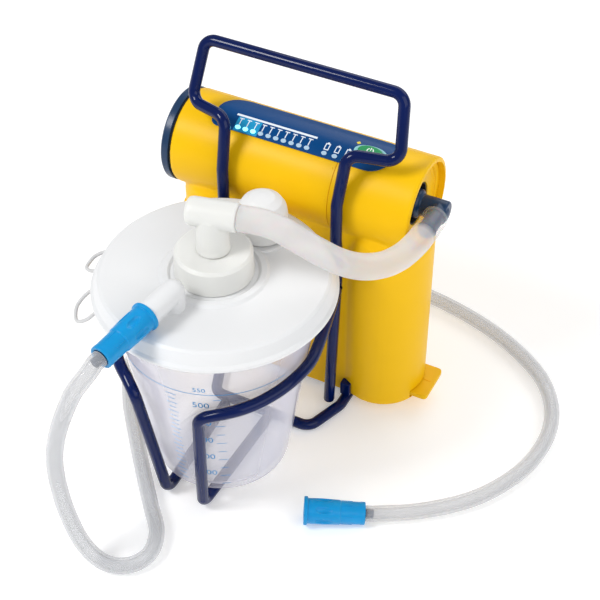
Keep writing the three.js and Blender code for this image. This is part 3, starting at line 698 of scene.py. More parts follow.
def domed(path, radius):
    """Adds rounded ends to a path: more points inside each end, and how thick the bar is at every point."""
    start = (path[1] - path[0]).normalized()
    end = (path[-2] - path[-1]).normalized()
    turns = [math.radians(a) for a in (4, 20, 38, 56, 74)]
    inset = [radius * 0.7 * (1 - math.sin(a)) for a in turns]
    head = [path[0] + start * d for d in inset[::-1]]
    tail = [path[-1] + end * d for d in inset]
    thick = [math.cos(a) for a in turns]
    inner = path[1:-1]
    return [*head, *inner, *tail], [*thick[::-1], *[1] * len(inner), *thick]


def length_of(path):
    return sum((b - a).length for a, b in zip(path, path[1:]))


# ---------- stage ----------

def make_camera():
    data = bpy.data.cameras.new("Camera")
    data.lens = 90
    data.sensor_width = 36
    camera = bpy.data.objects.new("Camera", data)
    bpy.context.scene.collection.objects.link(camera)
    camera.location = (0.2930, -0.5268, 0.6600)
    camera.rotation_euler = (math.radians(47.07), 0, math.radians(26.64))
    bpy.context.scene.camera = camera


def area_light(name, spot, aim, size, power, tint=(1, 1, 1)):
    data = bpy.data.lights.new(name, "AREA")
    data.shape = "RECTANGLE"
    data.size = size[0]
    data.size_y = size[1]
    data.energy = power
    data.color = tint
    light = bpy.data.objects.new(name, data)
    bpy.context.scene.collection.objects.link(light)
    light.location = spot
    light.rotation_euler = (Vector(aim) - Vector(spot)).to_track_quat("-Z", "Y").to_euler()


def make_stage():
    bpy.context.scene.view_settings.view_transform = "Standard"
    world = bpy.data.worlds.new("Studio")
    bpy.context.scene.world = world
    world.use_nodes = True
    sky = world.node_tree.nodes["Background"]
    sky.inputs["Color"].default_value = (0.97, 0.98, 1.0, 1)
    sky.inputs["Strength"].default_value = 0.40
    centre = (0, 0, 0.08)
    area_light("Key", (-0.55, -0.65, 1.05), centre, (0.4, 0.4), 9)
    area_light("Fill", (0.95, -0.45, 0.75), centre, (1.2, 0.9), 5.5)
    area_light("Back", (0.15, 0.95, 0.9), centre, (1.4, 0.7), 5.5)
    bm = bmesh.new()
    bmesh.ops.create_grid(bm, x_segments=1, y_segments=1, size=4)
    floor = as_object(bm, "Floor")
    finish = moulded("Studio floor", (0.90, 0.90, 0.90), 0.9, 80, 0.02, 0.004, Specular_IOR_Level=0.1)
    finish.surface.inputs["Emission Color"].default_value = (1, 1, 1, 1)
    finish.surface.inputs["Emission Strength"].default_value = 0.27
    floor.data.materials.append(finish.material)
    floor.location.z = -0.0004
    floor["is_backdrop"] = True


# ---------- cords ----------

# Free tube's route, from the patient connector to the tip connector.
TUBE_ROUTE = [
    (-24, -122, 142.8), (-27.5, -129, 137), (-33, -133, 122), (-39.5, -133, 103), (-45, -132, 80),
    (-46, -131, 56), (-42.5, -131, 33), (-35, -131.5, 15), (-24, -131.5, 6.2), (-11.5, -127, 5),
    (-5, -116, 5), (-8.5, -101, 5), (-22, -85, 5), (-40, -64, 5), (-59, -41, 5), (-76, -19, 5),
    (-91, 9, 5), (-99, 44, 5), (-96, 80, 5), (-79, 110, 5), (-48, 130, 5), (-5, 141, 5), (42, 144, 5),
    (84, 136, 5), (117, 122, 5), (143, 102, 5), (157, 75, 5), (157, 40, 5), (141, 4, 5.2), (115, -22, 5.8),
]
TIP_START = Vector((88.2, -38.2, 6.6))
TIP_END = Vector((56.7, -53.2, 8.4))
# Vacuum hose's route, from the tee on the lid to the port at the barrel's right end.
HOSE_ROUTE = [
    (18, -22.6, 179.2), (27, -20.6, 176.8), (37, -18.3, 171.5), (47, -15.5, 165.5), (56.5, -11.5, 159.5),
    (65.5, -4.5, 154), (73, 6, 149.8), (77.6, 19, 147), (79.8, 33, 145.6), (80.3, 45, 145),
]
CONNECTOR_LENGTH = 34
PORT_REACH = 52.9
TEE_Z = 179.5
TEE_TURN = math.radians(12.6)
TEE_RIGHT = 14
ELBOW = UNIT + Vector((82.6, -6, BARREL_Z))  # middle of the port's outlet face


def port_way():
    """Direction of the patient port."""
    turn = math.radians(SPIGOT_TURN)
    drop = math.radians(4)
    return Vector((math.cos(drop) * math.cos(turn), math.cos(drop) * math.sin(turn), -math.sin(drop)))


def port_face():
    turn = math.radians(SPIGOT_TURN)
    return JAR + Vector((PORT_REACH * math.cos(turn), PORT_REACH * math.sin(turn), 149.5))


def connector(start, way, name, node):
    """A soft connector: a grip flange, a body with thumb hollows and a narrow neck."""
    profile = [
        [4.8, 0], [8.1, 0], [8.1, 1.9], [7.1, 2.2], [7.15, 5], [7.2, 7], [7.2, 10], [7.15, 13],
        [7.0, 16], [6.9, 20],
        [6.4, 20.5], [6.3, CONNECTOR_LENGTH - 3], [6.45, CONNECTOR_LENGTH - 2.2], [6.4, CONNECTOR_LENGTH],
        [4.6, CONNECTOR_LENGTH], [4.4, CONNECTOR_LENGTH - 4], [2.8, CONNECTOR_LENGTH - 4.5],
        [2.8, 15], [4.8, 15],
    ]
    bm = spun(profile, 0.45, 96)
    long_edges = [e for e in bm.edges if abs(e.verts[0].co.z - e.verts[1].co.z) > 1.2]
    bmesh.ops.subdivide_edges(bm, edges=long_edges, cuts=5)
    for vert in bm.verts:
        flat = Vector((vert.co.x, vert.co.y))
        if flat.length > 6.2 and 4 < vert.co.z < 20.2:
            # The nearest of six long hollows round the grip.
            off = (math.atan2(flat.y, flat.x) / math.radians(60) + 0.5) % 1 - 0.5
            far = (off * math.radians(60) * flat.length / 1.9) ** 2 + ((vert.co.z - 11) / 4.6) ** 2
            if far < 1:
                vert.co.xy = flat * (1 - 0.16 * (1 - far) ** 0.5)
    for turn in range(6):
        spin = Matrix.Rotation(math.radians(60 * turn + 30), 3, "Z")
        rib = block((5.8, -0.3, 20.4), (6.6, 0.3, CONNECTOR_LENGTH - 7), 0.25, 2)
        bmesh.ops.rotate(rib, verts=rib.verts, cent=(0, 0, 0), matrix=spin)
        bm = joined(bm, rib)
    return place(name, aimed(bm, start, way), "vinyl", None, [node], "blue_vinyl")


def tube_barb(start, way, name, body):
    """The dark spigot that a connector holds inside the end of the tube."""
    barb = [[0, 0], [2.6, 0], [2.6, 3], [2.9, 3.4], [2.5, 6.6], [1.6, 7], [0, 7]]
    spot = start + way * (CONNECTOR_LENGTH - 2)
    place(name, aimed(spun(barb, 0.2, 48), spot, way), "port", body, (), "navy_plastic")


def cord_piece(name, path, radius, finish, node, slot, sides=7, bore=0.0):
    """A cord's mesh along its path; with a bore it gets an inner wall."""
    bm = swept(path, radius, sides)
    if bore:
        inner = [path[0].lerp(path[1], 0.1), *path[1:-1], path[-1].lerp(path[-2], 0.1)]
        hollow = swept(inner, bore, sides)
        bmesh.ops.reverse_faces(hollow, faces=hollow.faces)
        bm = joined(bm, hollow)
    return place(name, bm, finish, None, [node], slot, even=False, sharp=60)


def make_cords():
    sizes = bpy.context.scene.pump_sizes
    way = port_way()
    head = connector(port_face(), way, "patient_connector_grip", "patient_connector")
    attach(head, "canister_set")
    tube_barb(port_face(), way, "patient_barb", "canister_set")
    tip_way = (TIP_END - TIP_START).normalized()
    tip = connector(TIP_START + tip_way * CONNECTOR_LENGTH, -tip_way, "tip_connector_grip", "tip_connector")
    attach(tip, "root")
    tube_barb(TIP_START + tip_way * CONNECTOR_LENGTH, -tip_way, "tip_barb", "root")

    start = port_face() + way * (CONNECTOR_LENGTH + CLEARANCE)
    end = TIP_START - tip_way * CLEARANCE
    inner = smooth_route([start + way * 4, *TUBE_ROUTE, end - tip_way * 4], 2.2)
    path = [start, *relaxed(inner), end]
    tube = cord_piece(
        "patient_tube_line", path, sizes.tube_radius, "tube", "patient_tube", "clear_vinyl_tube", 8, 3.1)
    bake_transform(tube)
    length_of(path) * MM
    [p * MM for p in path]

    turn = Vector((math.cos(TEE_TURN), math.sin(TEE_TURN), 0))
    tee = JAR + UP * TEE_Z
    back = Vector((0, -1, 0))
    start = tee + turn * (TEE_RIGHT + CLEARANCE)
    end = ELBOW + back * CLEARANCE
    inner = smooth_route([tee + turn * (TEE_RIGHT + 3), *HOSE_ROUTE, ELBOW + back * 3], 1.5)
    path = [start, *inner, end]
    hose = cord_piece("vacuum_hose_line", path, sizes.hose_radius, "hose", "vacuum_hose", "silicone_hose", 8)
    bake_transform(hose)
    length_of(path) * MM
    [p * MM for p in path]
    for name, degrees, spread, reach, drop in (
            ("tether_left", 186, 7, 74, 5), ("tether_front", 214, 8, 74, 10), ("tether_rear", 46, 7, 73, 3)):
        path = smooth_route(tether_route(degrees, spread, reach, drop), 0.8)
        loop = cord_piece(name + "_loop", path, 1.0, "tether", name, "white_silicone", 4)
        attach(loop, "canister_set")
        path[0] * MM
        length_of(path) * MM
        [p * MM for p in path]


def tether_route(degrees, spread, reach, drop):
    """A thin loop that hangs out from under the lid's lip."""
    top = 129.6

    def on(radius, angle, z):
        a = math.radians(angle)
        return JAR + Vector((radius * math.cos(a), radius * math.sin(a), z))

    half = (61 + reach) / 2 + 1
    return [
        on(61, degrees - spread, top), on(half, degrees - spread, top - drop * 0.6),
        on(reach - 1, degrees - spread * 0.6, top - drop), on(reach, degrees, top - drop * 1.15),
        on(reach - 1, degrees + spread * 0.6, top - drop), on(half, degrees + spread, top - drop * 0.6),
        on(61, degrees + spread, top),
    ]


# ---------- housing ----------

LEFT_COLUMN = -46.5
RIGHT_COLUMN = 55.0
COLUMN_Y = -2.0
BASE_Z = 6.9
SPLIT_Y = 10.0


def housing_form():
    sizes = bpy.context.scene.pump_sizes
    radius = sizes.barrel_radius
    barrel = along_x(spun([[0, -70], [radius, -70], [radius, 75], [0, 75]], 0.8, 128),
                     (0, 0, BARREL_Z))
    r = sizes.column_radius
    crown = [[0, BASE_Z], [r, BASE_Z], [r, 118], [r - 1.5, 125], [r - 5.5, 132], [r - 12, 137], [0, 137]]
    columns = [moved(spun(crown, 1.2, 128), (x, COLUMN_Y, 0)) for x in (LEFT_COLUMN, RIGHT_COLUMN)]
    centre = block((LEFT_COLUMN, -22, BASE_Z), (RIGHT_COLUMN, 23.5, 139), 0.8)
    skirt = block((LEFT_COLUMN, -22, BASE_Z - 2.4), (RIGHT_COLUMN - 7, -19.8, BASE_Z + 2), 0.3)
    return moved(joined(barrel, centre, skirt, *columns), UNIT)


def make_housing():
    voxel = 1.0
    skin = melted(housing_form(), voxel, 3)
    axis = UNIT + UP * BARREL_Z
    face = axis + Vector((66.4, 0, 0))
    recess = along_x(spun([[0, 0], [24.95, 0], [24.95, 24], [0, 24]], 0.2, 128), face)
    dial_room = along_x(spun([[0, -90], [28.2, -90], [28.2, -70], [0, -70]], 0.1, 128), axis)
    bore = along_x(spun([[0, -12], [12.05, -12], [12.05, 2], [0, 2]], 0.1, 64), face)
    seam = along_x(spun([[27.1, 27.75], [29.5, 27.75], [29.5, 28.1], [27.1, 28.1]], 0.02, 128), axis)
    slot = block(UNIT + Vector((69, -13.4, 8.4)), UNIT + Vector((86, 13.4, 13.9)), 0)
    inlet = along_x(spun([[0, -4], [4.8, -4], [4.8, 10], [0, 10]], 0.1, 48), UNIT + Vector((-72, 0, 92)))
    holes = bmesh.new()
    for i in range(1, 5):
        head = middle(f"case_screw_{i}")
        head.y = UNIT.y
        holes = joined(holes, moved(along_y(spun([[0, 20], [3.2, 20], [3.2, 25], [0, 25]], 0.1, 48)), head))
    skin = cut(skin, joined(recess, dial_room), bore, joined(seam, slot, inlet), holes)
    halves = []
    for side in (-1, 1):
        half = skin.copy()
        spot = UNIT + Vector((0, SPLIT_Y + side * 0.11, 0))
        geom = [*half.verts, *half.edges, *half.faces]
        found = bmesh.ops.bisect_plane(
            half, geom=geom, plane_co=spot, plane_no=(0, side, 0), clear_inner=True)
        rim = [g for g in found["geom_cut"] if isinstance(g, bmesh.types.BMEdge)]
        bmesh.ops.triangle_fill(half, edges=rim, use_beauty=True)
        bmesh.ops.recalc_face_normals(half, faces=half.faces)
        halves.append(half)
    skin.free()
    place("front_shell", halves[0], "yellow", "root", ["front_housing"], "yellow_plastic", sharp=45)
    place("rear_shell", halves[1], "yellow", "root", ["rear_housing"], "yellow_plastic", sharp=45)
    make_seam_marks()
    make_end_fittings()


def make_seam_marks():
    """Small moulded pips beside the barrel's seam."""
    bm = bmesh.new()
    for degrees in (50, 12, -26):
        angle = math.radians(degrees)
        way = Vector((0, -math.cos(angle), math.sin(angle)))
        spot = UNIT + UP * BARREL_Z + Vector((26.3, 0, 0)) + way * 27.35
        bm = joined(bm, aimed(spun([[0, 0], [0.65, 0], [0.65, 0.25], [0, 0.45]], 0.1, 24), spot, way))
    place("seam_pips", bm, "yellow", "root", (), "yellow_plastic")


def make_end_fittings():
    axis = UNIT + UP * BARREL_Z
    cap = [
        [12.2, 66.5], [24.7, 66.5], [24.7, 71.4], [21.5, 71.4], [20.9, 70], [19.4, 70],
        [19.1, 69.6], [18.8, 70],
        [12.2, 70],
    ]
    place("right_cap", along_x(spun(cap, 0.35, 128), axis), "yellow", "root", ["right_end_cap"],
          "yellow_plastic")
    liner = [[5.6, 60], [11.9, 60], [11.9, 69.4], [11.3, 69.4], [11.1, 62.5], [5.6, 62.5]]
    place("port_sleeve", along_x(spun(liner, 0.3), axis), "black", "root", ["port_liner"], "black_plastic")
    pipe = [[0, 58], [5.3, 58], [5.3, 62], [8.2, 62], [8.2, 70.5], [7.4, 71.6], [6.1, 72.4],
            [6.1, 86.4], [5.4, 87.2],
            [0, 87.2]]
    run = along_x(spun(pipe, 0.4), axis)
    barb = [[0, -20], [4.6, -20], [5.4, -17.6], [4.9, -17.2], [4.9, -6.2], [5.9, -6], [5.9, 0], [0, 0]]
    outlet = along_y(spun(barb, 0.3), axis + Vector((82.6, 0, 0)))
    elbow = melted(joined(run, outlet), 0.34, 2)
    bore = along_y(spun([[0, -22], [2.6, -22], [2.6, 0], [0, 0]], 0.1, 32), axis + Vector((82.6, 0, 0)))
    place("port_elbow", cut(elbow, bore), "port", "root", ["vacuum_port_elbow"], "navy_plastic")
    seal = [[4, -70.9], [26.6, -70.9], [26.6, -70.3], [4, -70.3]]
    place("dial_seal", along_x(spun(seal, 0.1, 128), axis), "rubber", "root", ["knob_seal"], "black_rubber")
    dial = [[0, -75.2], [20, -75.2], [22, -76.2], [26.4, -76.2], [27.5, -75.2], [27.5, -71.2], [3, -71.2],
            [3, -52], [0, -52]]
    knob = along_x(spun(dial, 0.6, 128))
    grip = block((-83.8, -3.4, -9), (-74.5, 3.4, 9), 1.3, 4)
    dial_body = fused(knob, grip)
    place("regulator_dial", moved(dial_body, axis), "port", "regulator_knob_body", ["regulator_knob"],
          "navy_plastic")
    make_side_fittings()


def make_side_fittings():
    outline = rounded_outline([(72, -13), (88, -13), (88, 13), (72, 13)], 3, True, 5)
    tab = prism(outline, 3.2, 0.5)
    line = block((74, -0.3, 2.85), (85.5, 0.3, 4), 0.1, 1)
    tab = moved(cut(tab, line), UNIT + UP * 10)
    place("release_tab", tab, "yellow", "battery_release_tab_body", ["battery_release_tab"], "yellow_plastic")
    plate = rounded_outline([(-8, -7.5), (8, -7.5), (8, 7.5), (-8, 7.5)], 5, True, 5)
    flat_to_side = Matrix.Rotation(-math.pi / 2, 3, "Y").to_quaternion()
    cover = moved(prism(plate, 3.4, 1.1, 4), (0, 0, 0), flat_to_side)
    cover = moved(cover, UNIT + Vector((-72.3, 0, 92)))
    place("inlet_flap", cover, "yellow", "inlet_cover_body", ["inlet_cover"], "yellow_plastic")
    low, high = [Vector(c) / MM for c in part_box("base_plate")]
    low.y = UNIT.y - 19.4
    place("base_pan", block(low, high, 1.2), "port", "root", ["base_plate"], "black_plastic")
    for i, (x, y) in enumerate(((-54, -9), (60, -9), (-54, 10), (60, 10))):
        foot = [[0, 0], [4.6, 0], [5.4, 1], [6, BASE_Z - CLEARANCE], [0, BASE_Z - CLEARANCE]]
        place(f"foot_{i + 1}", moved(spun(foot, 0.4, 64), UNIT + Vector((x, y, 0))), "rubber", "root",
              [f"rubber_foot_{i + 1}"], "black_rubber")


# ---------- control panel ----------

def wrapped(bm, depth):
    """Wraps a flat bmesh, with X along the barrel and Y round it from the lamps' angle, and thickens it."""
    inner = PANEL_R - depth
    for vert in bm.verts:
        angle = math.radians(LED_ANGLE) + vert.co.y / PANEL_R
        r = inner + vert.co.z
        vert.co = UNIT + Vector((vert.co.x, -math.cos(angle) * r, BARREL_Z + math.sin(angle) * r))
    return tidy(bm)


def sliced(outline, low, high, step):
    """A flat face cut into strips, so that it can bend round the barrel."""
    bm = bmesh.new()
    bm.faces.new([bm.verts.new((p[0], p[1], 0)) for p in outline])
    for k in range(1, int((high - low) / step)):
        geom = [*bm.verts, *bm.edges, *bm.faces]
        bmesh.ops.bisect_plane(bm, geom=geom, plane_co=(0, low + k * step, 0), plane_no=(0, 1, 0))
    return bm


def plate_on_barrel(outline, low, high, depth, lift=0.0):
    bm = sliced(outline, low, high, 0.9)
    faces = list(bm.faces)
    grown = bmesh.ops.extrude_face_region(bm, geom=faces)
    top = [g for g in grown["geom"] if isinstance(g, bmesh.types.BMVert)]
    bmesh.ops.translate(bm, verts=top, vec=(0, 0, depth + lift))
    bmesh.ops.recalc_face_normals(bm, faces=bm.faces)
    return wrapped(bm, depth)


def varied_corners(corners, steps=8):
    """An outline of (x, y, radius) corners, each with its own rounding."""
    out = []
    for i, (x, y, radius) in enumerate(corners):
        here = Vector((x, y))
        back = (Vector(corners[i - 1][:2]) - here).normalized()
        on = (Vector(corners[(i + 1) % len(corners)][:2]) - here).normalized()
        for k in range(steps + 1):
            turn = math.pi / 2 * k / steps
            out.append(here + back * radius * (1 - math.sin(turn)) + on * radius * (1 - math.cos(turn)))
    return out


def oval(x, y, half_x, half_y, count=24):
    turns = [2 * math.pi * i / count for i in range(count)]
    return [(x + half_x * math.cos(a), y + half_y * math.sin(a)) for a in turns]


def make_panel():
    low = math.radians(58 - LED_ANGLE) * PANEL_R
    high = math.radians(109 - LED_ANGLE) * PANEL_R
    corners = ((-50, low, 4), (56, low, 13), (56, high, 8), (-50, high, 15))
    outline = varied_corners(corners)
    bm = plate_on_barrel([(p[0], p[1]) for p in outline], low, high, 0.9)
    place("panel_overlay", bm, "panel", "root", ["control_panel"], "blue_panel", sharp=50)
    lit = bmesh.new()
    dark = bmesh.new()
    for k in range(10):
        lamp = plate_on_barrel(oval(LED_FIRST + k * LED_PITCH, 0, 1.55, 1.2), -1.2, 1.2, 0.5, 0.35)
        if k < 3:
            lit = joined(lit, lamp)
        else:
            dark = joined(dark, lamp)
    place("vacuum_lamps_lit", lit, "lamp_lit", "root", ["vacuum_led_bar"], "led_lens", sharp=60)
    place("vacuum_lamps", dark, "lamp", "root", ["vacuum_led_bar"], "led_lens", sharp=60)
    battery = bmesh.new()
    for x in BATTERY_LAMPS:
        battery = joined(battery, plate_on_barrel(oval(x, 0, 1.55, 1.2), -1.2, 1.2, 0.5, 0.35))
    place("battery_lamps", battery, "lamp", "root", ["battery_led_bar"], "led_lens", sharp=60)
    angle = math.radians(BUTTON_ANGLE)
    way = Vector((0, -math.cos(angle), math.sin(angle)))
    spot = UNIT + Vector((BUTTON_X, 0, BARREL_Z)) + way * 25.8
    button = prism(oval(0, 0, 7.2, 3.9, 48), 4.5, 0.9, 4)
    place("button_cap", aimed(button, spot, way), "green", "power_button_body", ["power_button"],
          "green_plastic")


# ---------- wire frame ----------

def rod_piece(name, path, node, body="root"):
    radius = bpy.context.scene.pump_sizes.rod_radius
    points, widths = domed(path, radius)
    return place(name, swept(points, radius, 7, True, widths), "navy_rod", body, [node], "navy_paint",
                 even=False, sharp=60)


def make_frame():
    x = FRAME_X

    def side(s):
        corners = [
            (s * 32.8, -33, 3.6), (s * 34.6, -28.8, 112), (s * 34.6, -31.7, 130), (s * 34.6, -31.7, 154),
            (s * 36.2, -23.5, 183), (s * 62.4, -14, 180), (s * 58.4, -2.4, 214.4),
        ]
        return [Vector((x, UNIT.y, 0)) + Vector(c) for c in corners]

    rod_piece("carry_rod", rounded_path([*side(-1), *side(1)[::-1]], 7), "carry_frame")
    half = [(40.4, 8), (40.4, -33), (31.5, -57)]
    loop = [Vector((x + a, UNIT.y + b, 3.3)) for a, b in half]
    other = [Vector((x - a, UNIT.y + b, 3.3)) for a, b in half[::-1]]
    rod_piece("base_loop", rounded_path([*loop, *other], 8), "base_rod")
    for s, name in ((-1, "left"), (1, "right")):
        low, high = [Vector(c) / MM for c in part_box("frame_bracket_" + name)]
        place(f"bracket_{name}", block(low, high, 0.5), "navy_rod", "root", ["frame_bracket_" + name],
              "black_plastic")
        rod_piece(f"cradle_{name}", cradle_path(s), f"cradle_rod_{name}")


def cradle_path(s):
    """One side of the cradle: a ring half that dips to the front corner and drops to the floor."""
    ring = 55.2
    leg_y = UNIT.y - JAR.y - 32.4
    start_x = FRAME_X - JAR.x + s * 36.6
    back_y = UNIT.y - JAR.y - 60.7
    touch = math.degrees(math.atan2(leg_y, s * start_x) - math.acos(ring / math.hypot(start_x, leg_y)))
    arc = []
    for degrees in (touch, 0, -16, -28, -40, -50, -58):
        a = math.radians(degrees)
        arc.append((s * ring * math.cos(a), ring * math.sin(a), 98 + min(0, degrees + 20) * 0.17))
    sweep = smooth_route([(start_x, leg_y, 98), *arc], 2)
    front = [(s * 19 - 2, -52.6, 87.5), (s * 11.5 - 2, -41.4, 3.3), (s * 14 - 2, back_y, 3.3)]
    bends = rounded_path([sweep[-1], *front], 7.5)
    return [JAR + p for p in [*sweep, *bends[1:]]]


# ---------- canister ----------

def canister_wall(z):
    """Outer radius of the canister's wall at a height."""
    return 37.7 + 0.15 * (z - 8)


def make_canister():
    profile = [
        [0, 7.8], [28, 7.8], [30, 7], [34.4, 8.3], [canister_wall(12) - 0.6, 11.8], [canister_wall(17), 17],
        [canister_wall(130), 130], [56.6, 132.6], [58, 133.4], [58, 135.8],
        [54.2, 135.8], [canister_wall(130) - 2, 130], [canister_wall(17) - 2, 17], [35, 12.6], [32.6, 10.3],
        [29, 9.3], [0, 9.3],
    ]
    place("canister_shell", moved(spun(profile, 0.8, 160), JAR), "clear", "canister_set", ["canister"],
          "clear_canister", even=False, sharp=50)
    seal = spun([[54.9, 136.1], [57.5, 136.1], [57.5, 138.2], [54.9, 138.2]], 0.5, 128)
    place("seal_ring", moved(seal, JAR), "silicone_white", "canister_set", ["lid_seal"], "white_silicone")
    cage = [[4, 100], [10, 100], [10.6, 134.6], [13.5, 134.6], [13.5, 136.9], [6, 136.9],
            [6, 134.8], [8.2, 133], [8.2, 102], [4, 102]]
    windows = []
    for degrees in (0, 90):
        window = block((-14, -2.6, 106), (14, 2.6, 128), 1.2)
        turned_about_z(window, degrees)
        windows.append(window)
    body = cut(spun(cage, 0.3, 64), *windows)
    place("float_basket", moved(body, JAR), "clear_part", "canister_set", ["float_cage"], "clear_cage")
    ball = [[0, 102.4], [6, 102.4], [7.4, 104], [7.4, 113], [5, 117.5], [0, 119]]
    place("float_plug", moved(spun(ball, 1.2, 64), JAR), "float", "shutoff_float_body", ["shutoff_float"],
          "float_blue")
    make_scale()


def on_wall(turn, z, lift=0.05):
    r = canister_wall(z) + lift
    return JAR + Vector((r * math.cos(turn), r * math.sin(turn), z))


def wrapped_mark(bm, turn):
    """Bends a flat mark, with X round the wall and Y up it, onto the canister's outside."""
    for vert in bm.verts:
        z = vert.co.y
        angle = turn + vert.co.x / canister_wall(z)
        vert.co = on_wall(angle, z, 0.03 + max(0.0, vert.co.z))
    return bm


def mark(x, z, width, height=0.35):
    """A printed stroke, cut across so that it follows the wall."""
    bm = bmesh.new()
    count = max(1, round(width / 2))
    matrix = Matrix.LocRotScale(Vector((x, z, 0.04)), None, Vector((width, height, 0.06)))
    bmesh.ops.create_cube(bm, size=1, matrix=matrix)
    for k in range(1, count):
        geom = [*bm.verts, *bm.edges, *bm.faces]
        across = x - width / 2 + width * k / count
        bmesh.ops.bisect_plane(bm, geom=geom, plane_co=(across, 0, 0), plane_no=(1, 0, 0))
    return bm


def figure(text, x, z, size):
    """Printed digits as a thin mesh, flat in X and Y."""
    curve = bpy.data.curves.new("digits", "FONT")
    curve.body = text
    curve.size = size
    curve.align_x = "CENTER"
    curve.align_y = "CENTER"
    curve.extrude = 0.03
    curve.resolution_u = 4
    made = bpy.data.objects.new("digits", curve)
    bpy.context.scene.collection.objects.link(made)
    ready = made.evaluated_get(bpy.context.evaluated_depsgraph_get())
    mesh = bpy.data.meshes.new_from_object(ready)
    bm = bmesh.new()
    bm.from_mesh(mesh)
    bpy.data.meshes.remove(mesh)
    bpy.data.objects.remove(made)
    bmesh.ops.remove_doubles(bm, verts=bm.verts, dist=0.001)
    return moved(bm, (x, z, 0.04))


def make_scale():
    """The volume scale: a fill line, two columns of strokes and figures in even steps."""
    turn = math.radians(-72)
    bottom = 18
    step = 15.9  # height of 100 ml
    bm = mark(0, 102, 96, 0.4)
    for k in range(21):
        bm = joined(bm, mark(-15.5, bottom + k * step / 4, 6.2 if k % 2 == 0 else 4.2))
    for k in range(11):
        bm = joined(bm, mark(9.5, bottom + k * step / 2, 5.4 if k % 2 else 4.4))
    for k in range(1, 6):
        bm = joined(bm, figure(f"{100 * k}", 0.5, bottom + (k - 0.33) * step, 6.2))
    bm = joined(bm, figure("550", 0.5, 105.6, 4.6))
    place("volume_scale", wrapped_mark(bm, turn), "print", "canister_set", (), "blue_vinyl", even=False)


# ---------- lid ----------

def make_lid():
    r = bpy.context.scene.pump_sizes.lid_radius
    plate = [
        [r, 131], [r, 133.2], [r - 1.6, 134.6], [r - 4, 140.4], [r - 5.6, 141.5], [54, 141.4], [42, 140.4],
        [29, 140.9], [27.5, 142.3], [24.5, 142.6], [23, 141.2], [17, 141.2], [17, 151.5],
        [12.5, 151.5], [12.5, 137.3], [18, 137.3], [30, 138], [42, 137.6], [54, 138.6],
        [58.4, 138.6], [59, 134], [62.6, 132.6], [62.6, 131],
    ]
    way = port_way()
    face = port_face() - JAR
    heel = face - way * 20
    spigot = [[0, 0], [6.4, 0], [6.4, 19], [5.6, 19.6], [4.5, 19.8], [4.5, 33], [0, 33]]
    barrel = aimed(spun(spigot, 0.3, 64), heel, way)
    riser = moved(spun([[0, 139], [6.4, 139], [6.4, heel.z], [0, heel.z]], 0.1, 64), (heel.x, heel.y, 0))
    knuckle = bmesh.new()
    bmesh.ops.create_uvsphere(
        knuckle, u_segments=48, v_segments=24, radius=6.4, matrix=Matrix.Translation(heel))
    rib = block((33, -1.6, 139), (PORT_REACH - 1.5, 1.6, 148), 0.5)
    turned_about_z(rib, SPIGOT_TURN)
    gusset = prism([(24, 0), (36, 0), (36, 9)], 2.4, 0.4)
    gusset = moved(gusset, (0, 1.2, 140.6), Matrix.Rotation(math.pi / 2, 3, "X").to_quaternion())
    turned_about_z(gusset, SPIGOT_TURN)
    port = melted(joined(barrel, riser, knuckle, rib, gusset), 0.42, 2)
    spout = moved(spun([[9.4, 138], [11.4, 138], [11.4, 156], [9.4, 156]], 0.3, 64), (8.4, 37.9, 0))
    collar = moved(spun([[11.6, 140], [16, 140], [15.4, 142], [11.6, 142]], 0.5, 64), (8.4, 37.9, 0))
    dome = spun(plate, 0.9, 160)
    place("lid_plate", moved(joined(dome, port, spout, collar), JAR), "white", "canister_set", ["lid"],
          "white_plastic")
    cap = [[17.4, 141.5], [21, 141.5], [20.5, 154.9], [19, 156.5], [3.2, 156.5], [3.2, 154.3], [17.4, 154.3]]
    place("hub_cap", moved(spun(cap, 0.8, 128), JAR), "milky", "canister_set", ["filter_cap"],
          "milky_plastic")
    disc = spun([[0, 151.8], [16.8, 151.8], [16.8, 153.9], [0, 153.9]], 0.3, 64)
    place("filter_disc", moved(disc, JAR), "paper", "canister_set", ["bacterial_filter"], "filter_paper")
    make_tee()
    make_spout_cap()


def make_tee():
    low = 156.8
    stem = spun([[0, low], [9.2, low], [8.6, low + 3], [8.4, TEE_Z], [0, TEE_Z]], 0.8, 96)
    turn = Vector((math.cos(TEE_TURN), math.sin(TEE_TURN), 0))
    pipe = [[0, -13], [5.4, -13], [7.2, -12], [7.7, -10], [7.7, TEE_RIGHT - 0.6], [7, TEE_RIGHT],
            [0, TEE_RIGHT]]
    head = spun(pipe, 0.8, 96)
    head = aimed(head, UP * TEE_Z, turn)
    body = melted(joined(stem, head), 0.4, 3)
    side = Vector((turn.y, -turn.x, 0))
    nick = bmesh.new()
    spot = UP * (TEE_Z + 2.6) + side * 9.2 - turn * 4.4
    spin = UP.rotation_difference(side)
    bmesh.ops.create_cone(
        nick, cap_ends=True, segments=3, radius1=0.4, radius2=3.0, depth=4.2,
        matrix=Matrix.LocRotScale(spot, spin, None))
    place("tee_body", moved(cut(body, nick), JAR), "milky", "canister_set", ["tee_elbow"], "white_plastic")


def make_spout_cap():
    dome = [
        [0, 156.5], [11.8, 156.5], [11.8, 143], [13.4, 143], [13.6, 144.5], [13.6, 155], [12.9, 159.5],
        [10.6, 163.4], [6.8, 165.9], [3.5, 166.8], [0, 167],
    ]
    tab = prism(rounded_outline([(12, -3), (18.5, -3), (18.5, 3), (12, 3)], 2.2, True, 5), 2.3, 0.6)
    tab = moved(tab, (0, 0, 153.5), Matrix.Rotation(math.radians(-8), 3, "Z").to_quaternion())
    bm = joined(spun(dome, 1.4, 96, 4), tab)
    place("pour_cap", moved(bm, JAR + Vector((8.4, 37.9, 0))), "silicone_white", "pour_spout_cap_body",
          ["pour_spout_cap"], "white_silicone")


# ---------- CAD nodes that stay ----------

